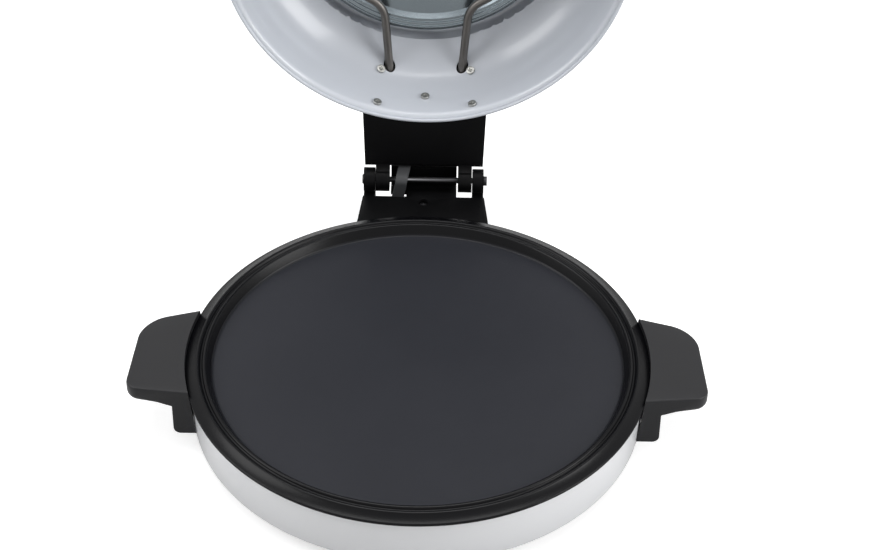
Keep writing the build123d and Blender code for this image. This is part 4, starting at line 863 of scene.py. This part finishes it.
def build_upper_heater():
    """Tubular heater: a ring whose ends bend outwards through the dome's wall."""
    lean = radians(LEG_LEAN)
    wall_y = sqrt(dome_radius(RING_Z) ** 2 - LEG_HOLE_X**2)
    along = LEG_HOLE_X * cos(lean) + wall_y * sin(lean)
    join = lean + acos((along + LEG_BEND_R) / (RING_R + LEG_BEND_R))
    bend_centre = Vector(((RING_R + LEG_BEND_R) * cos(join), (RING_R + LEG_BEND_R) * sin(join), RING_Z))
    leg_start = bend_centre - LEG_BEND_R * Vector((cos(lean), sin(lean), 0))
    leg_end = Vector((LEG_HOLE_X - sin(lean) * LEG_OUT, wall_y + cos(lean) * LEG_OUT, RING_Z))
    bm = bmesh.new()
    start = Matrix.Translation((0, -RING_R, RING_Z)) @ Matrix.Rotation(radians(90), 4, "Y")
    ring = bmesh.ops.create_circle(bm, segments=TUBE_SIDES, radius=TUBE_R, matrix=start)["verts"]
    loop = list({edge for vert in ring for edge in vert.link_edges})
    swept = bmesh.ops.spin(
        bm, geom=ring + loop, cent=(0, 0, RING_Z), axis=(0, 0, 1), angle=join + pi / 2, steps=110
    )["geom_last"]
    swept = bmesh.ops.spin(
        bm, geom=swept, cent=bend_centre, axis=(0, 0, 1), angle=lean - join, steps=24
    )["geom_last"]
    last_edges = [item for item in swept if isinstance(item, bmesh.types.BMEdge)]
    grown = bmesh.ops.extrude_edge_only(bm, edges=last_edges)["geom"]
    tip = [item for item in grown if isinstance(item, bmesh.types.BMVert)]
    bmesh.ops.translate(bm, verts=tip, vec=leg_end - leg_start)
    bmesh.ops.contextual_create(bm, geom=[item for item in grown if isinstance(item, bmesh.types.BMEdge)])
    bmesh.ops.mirror(bm, geom=bm.verts[:] + bm.edges[:] + bm.faces[:], axis="X", merge_dist=0.01)
    return finish_piece(
        "upper_heater", bm, "lid", finishes["heater_steel"], ("upper_element",), lid_place
    )


# ---------------------------------------------------------------- moulded and small parts, edges softened


def soften(node, width, steps=2, angle=40):
    """A smooth copy of a solid whose sharp edges are slightly rounded, as moulded parts have them."""
    bm = bmesh.new()
    bm.from_mesh(nodes[node].data)
    bmesh.ops.remove_doubles(bm, verts=bm.verts, dist=0.00001)
    bmesh.ops.dissolve_limit(bm, angle_limit=radians(1), verts=bm.verts, edges=bm.edges)
    bmesh.ops.transform(bm, matrix=Matrix.Scale(1 / MM, 4), verts=bm.verts)
    sharp = [edge for edge in bm.edges if edge.is_manifold and edge.calc_face_angle(0) > radians(angle)]
    if width:
        round_edges(bm, sharp, width, steps)
    body = "lid" if node in frame["record"]["behaviour"]["bodies"]["lid"] else "base"
    slot = slot_of[node]
    name = f"shown_{node}"
    return finish_piece(name, bm, body, finishes[slot], (node,), smooth_angle=angle)


def build_sleeve():
    """Flat sleeve with the lid's leads, bent over the hinge."""
    bm = bmesh.new()
    route = [Vector(p) for p in SLEEVE_ROUTE]
    bmesh.ops.create_grid(bm, x_segments=4, y_segments=48, size=0.5)
    for corner in bm.verts:
        share = corner.co.y + 0.5
        spot, run = along_route(route, share)
        across = Vector((1, 0, 0)) - run * run.x
        corner.co = spot + across.normalized() * (corner.co.x * SLEEVE_W)
    bmesh.ops.recalc_face_normals(bm, faces=bm.faces)
    bmesh.ops.solidify(bm, geom=bm.faces[:], thickness=SLEEVE_T)
    edges = [e for e in bm.edges if e.is_manifold and e.calc_face_angle(0) > radians(50)]
    round_edges(bm, edges, SLEEVE_T * 0.35, 3)
    sleeve = finish_piece(
        "flat_sleeve", bm, None, finishes["sleeve_grey"], ("lead_sleeve",)
    )
    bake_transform(sleeve)
    return sleeve


def along_route(route, share):
    """Place and direction on a smooth line that the route's points steer."""
    degree = 2
    spans = len(route) - degree
    t = min(max(share, 0.0), 0.9999) * spans
    i = int(t)
    u = t - i
    a, b, c = route[i], route[i + 1], route[i + 2]
    first = a if i == 0 else (a + b) / 2
    last = c if i == spans - 1 else (b + c) / 2
    near = first.lerp(b, u)
    far = b.lerp(last, u)
    return near.lerp(far, u), (far - near).normalized()


# ---------------------------------------------------------------- floor, light and camera


def build_stage():
    """Pale floor that shows white and keeps the cooker's shadow."""
    bm = bmesh.new()
    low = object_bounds()[0][2]
    bmesh.ops.create_grid(bm, x_segments=1, y_segments=1, size=FLOOR_HALF)
    bmesh.ops.translate(bm, verts=bm.verts, vec=(0, 0, low))
    mesh = bpy.data.meshes.new("floor")
    bm.to_mesh(mesh)
    bm.free()
    floor = bpy.data.objects.new("floor", mesh)
    bpy.context.scene.collection.objects.link(floor)
    material = bpy.data.materials.new("pale floor")
    material.use_nodes = True
    tree = material.node_tree
    tree.nodes.clear()
    output = tree.nodes.new("ShaderNodeOutputMaterial")
    matt = node_of(tree, "ShaderNodeBsdfDiffuse", Color=(0.8, 0.8, 0.8, 1))
    lit = node_of(tree, "ShaderNodeEmission", Color=(1, 1, 1, 1), Strength=FLOOR_GLOW)
    both = tree.nodes.new("ShaderNodeAddShader")
    choose = tree.nodes.new("ShaderNodeMixShader")
    ray = tree.nodes.new("ShaderNodeLightPath")
    tree.links.new(matt.outputs[0], both.inputs[0])
    tree.links.new(lit.outputs[0], both.inputs[1])
    tree.links.new(ray.outputs["Is Camera Ray"], choose.inputs["Fac"])
    tree.links.new(matt.outputs[0], choose.inputs[1])
    tree.links.new(both.outputs[0], choose.inputs[2])
    tree.links.new(choose.outputs[0], output.inputs["Surface"])
    mesh.materials.append(material)


def build_world():
    """Soft even surroundings that show as white."""
    world = bpy.data.worlds.new("studio")
    bpy.context.scene.world = world
    world.use_nodes = True
    tree = world.node_tree
    tree.nodes.clear()
    output = tree.nodes.new("ShaderNodeOutputWorld")
    soft = node_of(tree, "ShaderNodeBackground", Color=(1, 1, 1, 1), Strength=WORLD_LEVEL)
    white = node_of(tree, "ShaderNodeBackground", Color=(1, 1, 1, 1), Strength=1.0)
    ray = tree.nodes.new("ShaderNodeLightPath")
    seen = tree.nodes.new("ShaderNodeMath")
    seen.operation = "MAXIMUM"
    tree.links.new(ray.outputs["Is Camera Ray"], seen.inputs[0])
    mirrored = tree.nodes.new("ShaderNodeMath")
    mirrored.operation = "MAXIMUM"
    tree.links.new(ray.outputs["Is Glossy Ray"], mirrored.inputs[0])
    tree.links.new(ray.outputs["Is Transmission Ray"], mirrored.inputs[1])
    tree.links.new(mirrored.outputs[0], seen.inputs[1])
    choose = tree.nodes.new("ShaderNodeMixShader")
    tree.links.new(seen.outputs[0], choose.inputs["Fac"])
    tree.links.new(soft.outputs[0], choose.inputs[1])
    tree.links.new(white.outputs[0], choose.inputs[2])
    tree.links.new(choose.outputs[0], output.inputs["Surface"])


def add_lamp(name, place, aim, size, power):
    """A soft square lamp that points at a spot."""
    lamp = bpy.data.lights.new(name, "AREA")
    lamp.shape = "RECTANGLE"
    lamp.size, lamp.size_y = size
    lamp.energy = power
    stand = bpy.data.objects.new(name, lamp)
    bpy.context.scene.collection.objects.link(stand)
    aim_way = Vector(aim) - Vector(place)
    stand.matrix_world = Matrix.Translation(place) @ aim_way.to_track_quat("-Z", "Y").to_matrix().to_4x4()


def build_camera():
    """Camera at the photograph's viewpoint."""
    camera = bpy.data.cameras.new("camera")
    camera.sensor_width = 36.0
    camera.lens = FOCAL_PIXELS / PICTURE_WIDTH * camera.sensor_width
    camera.clip_end = 50
    stand = bpy.data.objects.new("camera", camera)
    bpy.context.scene.collection.objects.link(stand)
    heading, down, roll = (radians(a) for a in (CAMERA_HEADING, CAMERA_DOWN, CAMERA_ROLL))
    ahead = Vector((sin(heading) * cos(down), cos(heading) * cos(down), -sin(down)))
    level = ahead.cross(Vector((0, 0, 1))).normalized()
    above = level.cross(ahead)
    right = level * cos(roll) - above * sin(roll)
    up = level * sin(roll) + above * cos(roll)
    turn = Matrix((right, up, -ahead)).transposed().to_4x4()
    stand.matrix_world = Matrix.Translation(Vector(CAMERA_SPOT) * MM) @ turn
    bpy.context.scene.camera = stand


# ---------------------------------------------------------------- the whole cooker

build_plate()
build_band()
build_handle("right_grip", 1)
build_handle("left_grip", -1)
build_dome()
build_dish()
build_upper_heater()
build_sleeve()
for part, edge in (
    ("base_hinge_bracket", 0.5),
    ("lid_hinge_housing", 0.5),
    ("lid_handle", 0.8),
    ("cable_gland", 0.3),
    ("feet", 0.6),
    ("hinge_rod", 0.0),
    ("hinge_screw", 0.2),
    ("lid_screws", 0.2),
    ("cover_screw", 0.2),
    ("lid_handle_screws", 0.2),
    ("reflector_screws", 0.2),
    ("clip_screws", 0.2),
    ("tie_screws", 0.2),
    ("element_clips", 0.0),
    ("bottom_cover", 0.0),
):
    soften(part, edge)

build_stage()
build_world()
for lamp in LAMPS:
    add_lamp(*lamp)
build_camera()

bpy.context.scene.view_settings.view_transform = "Standard"
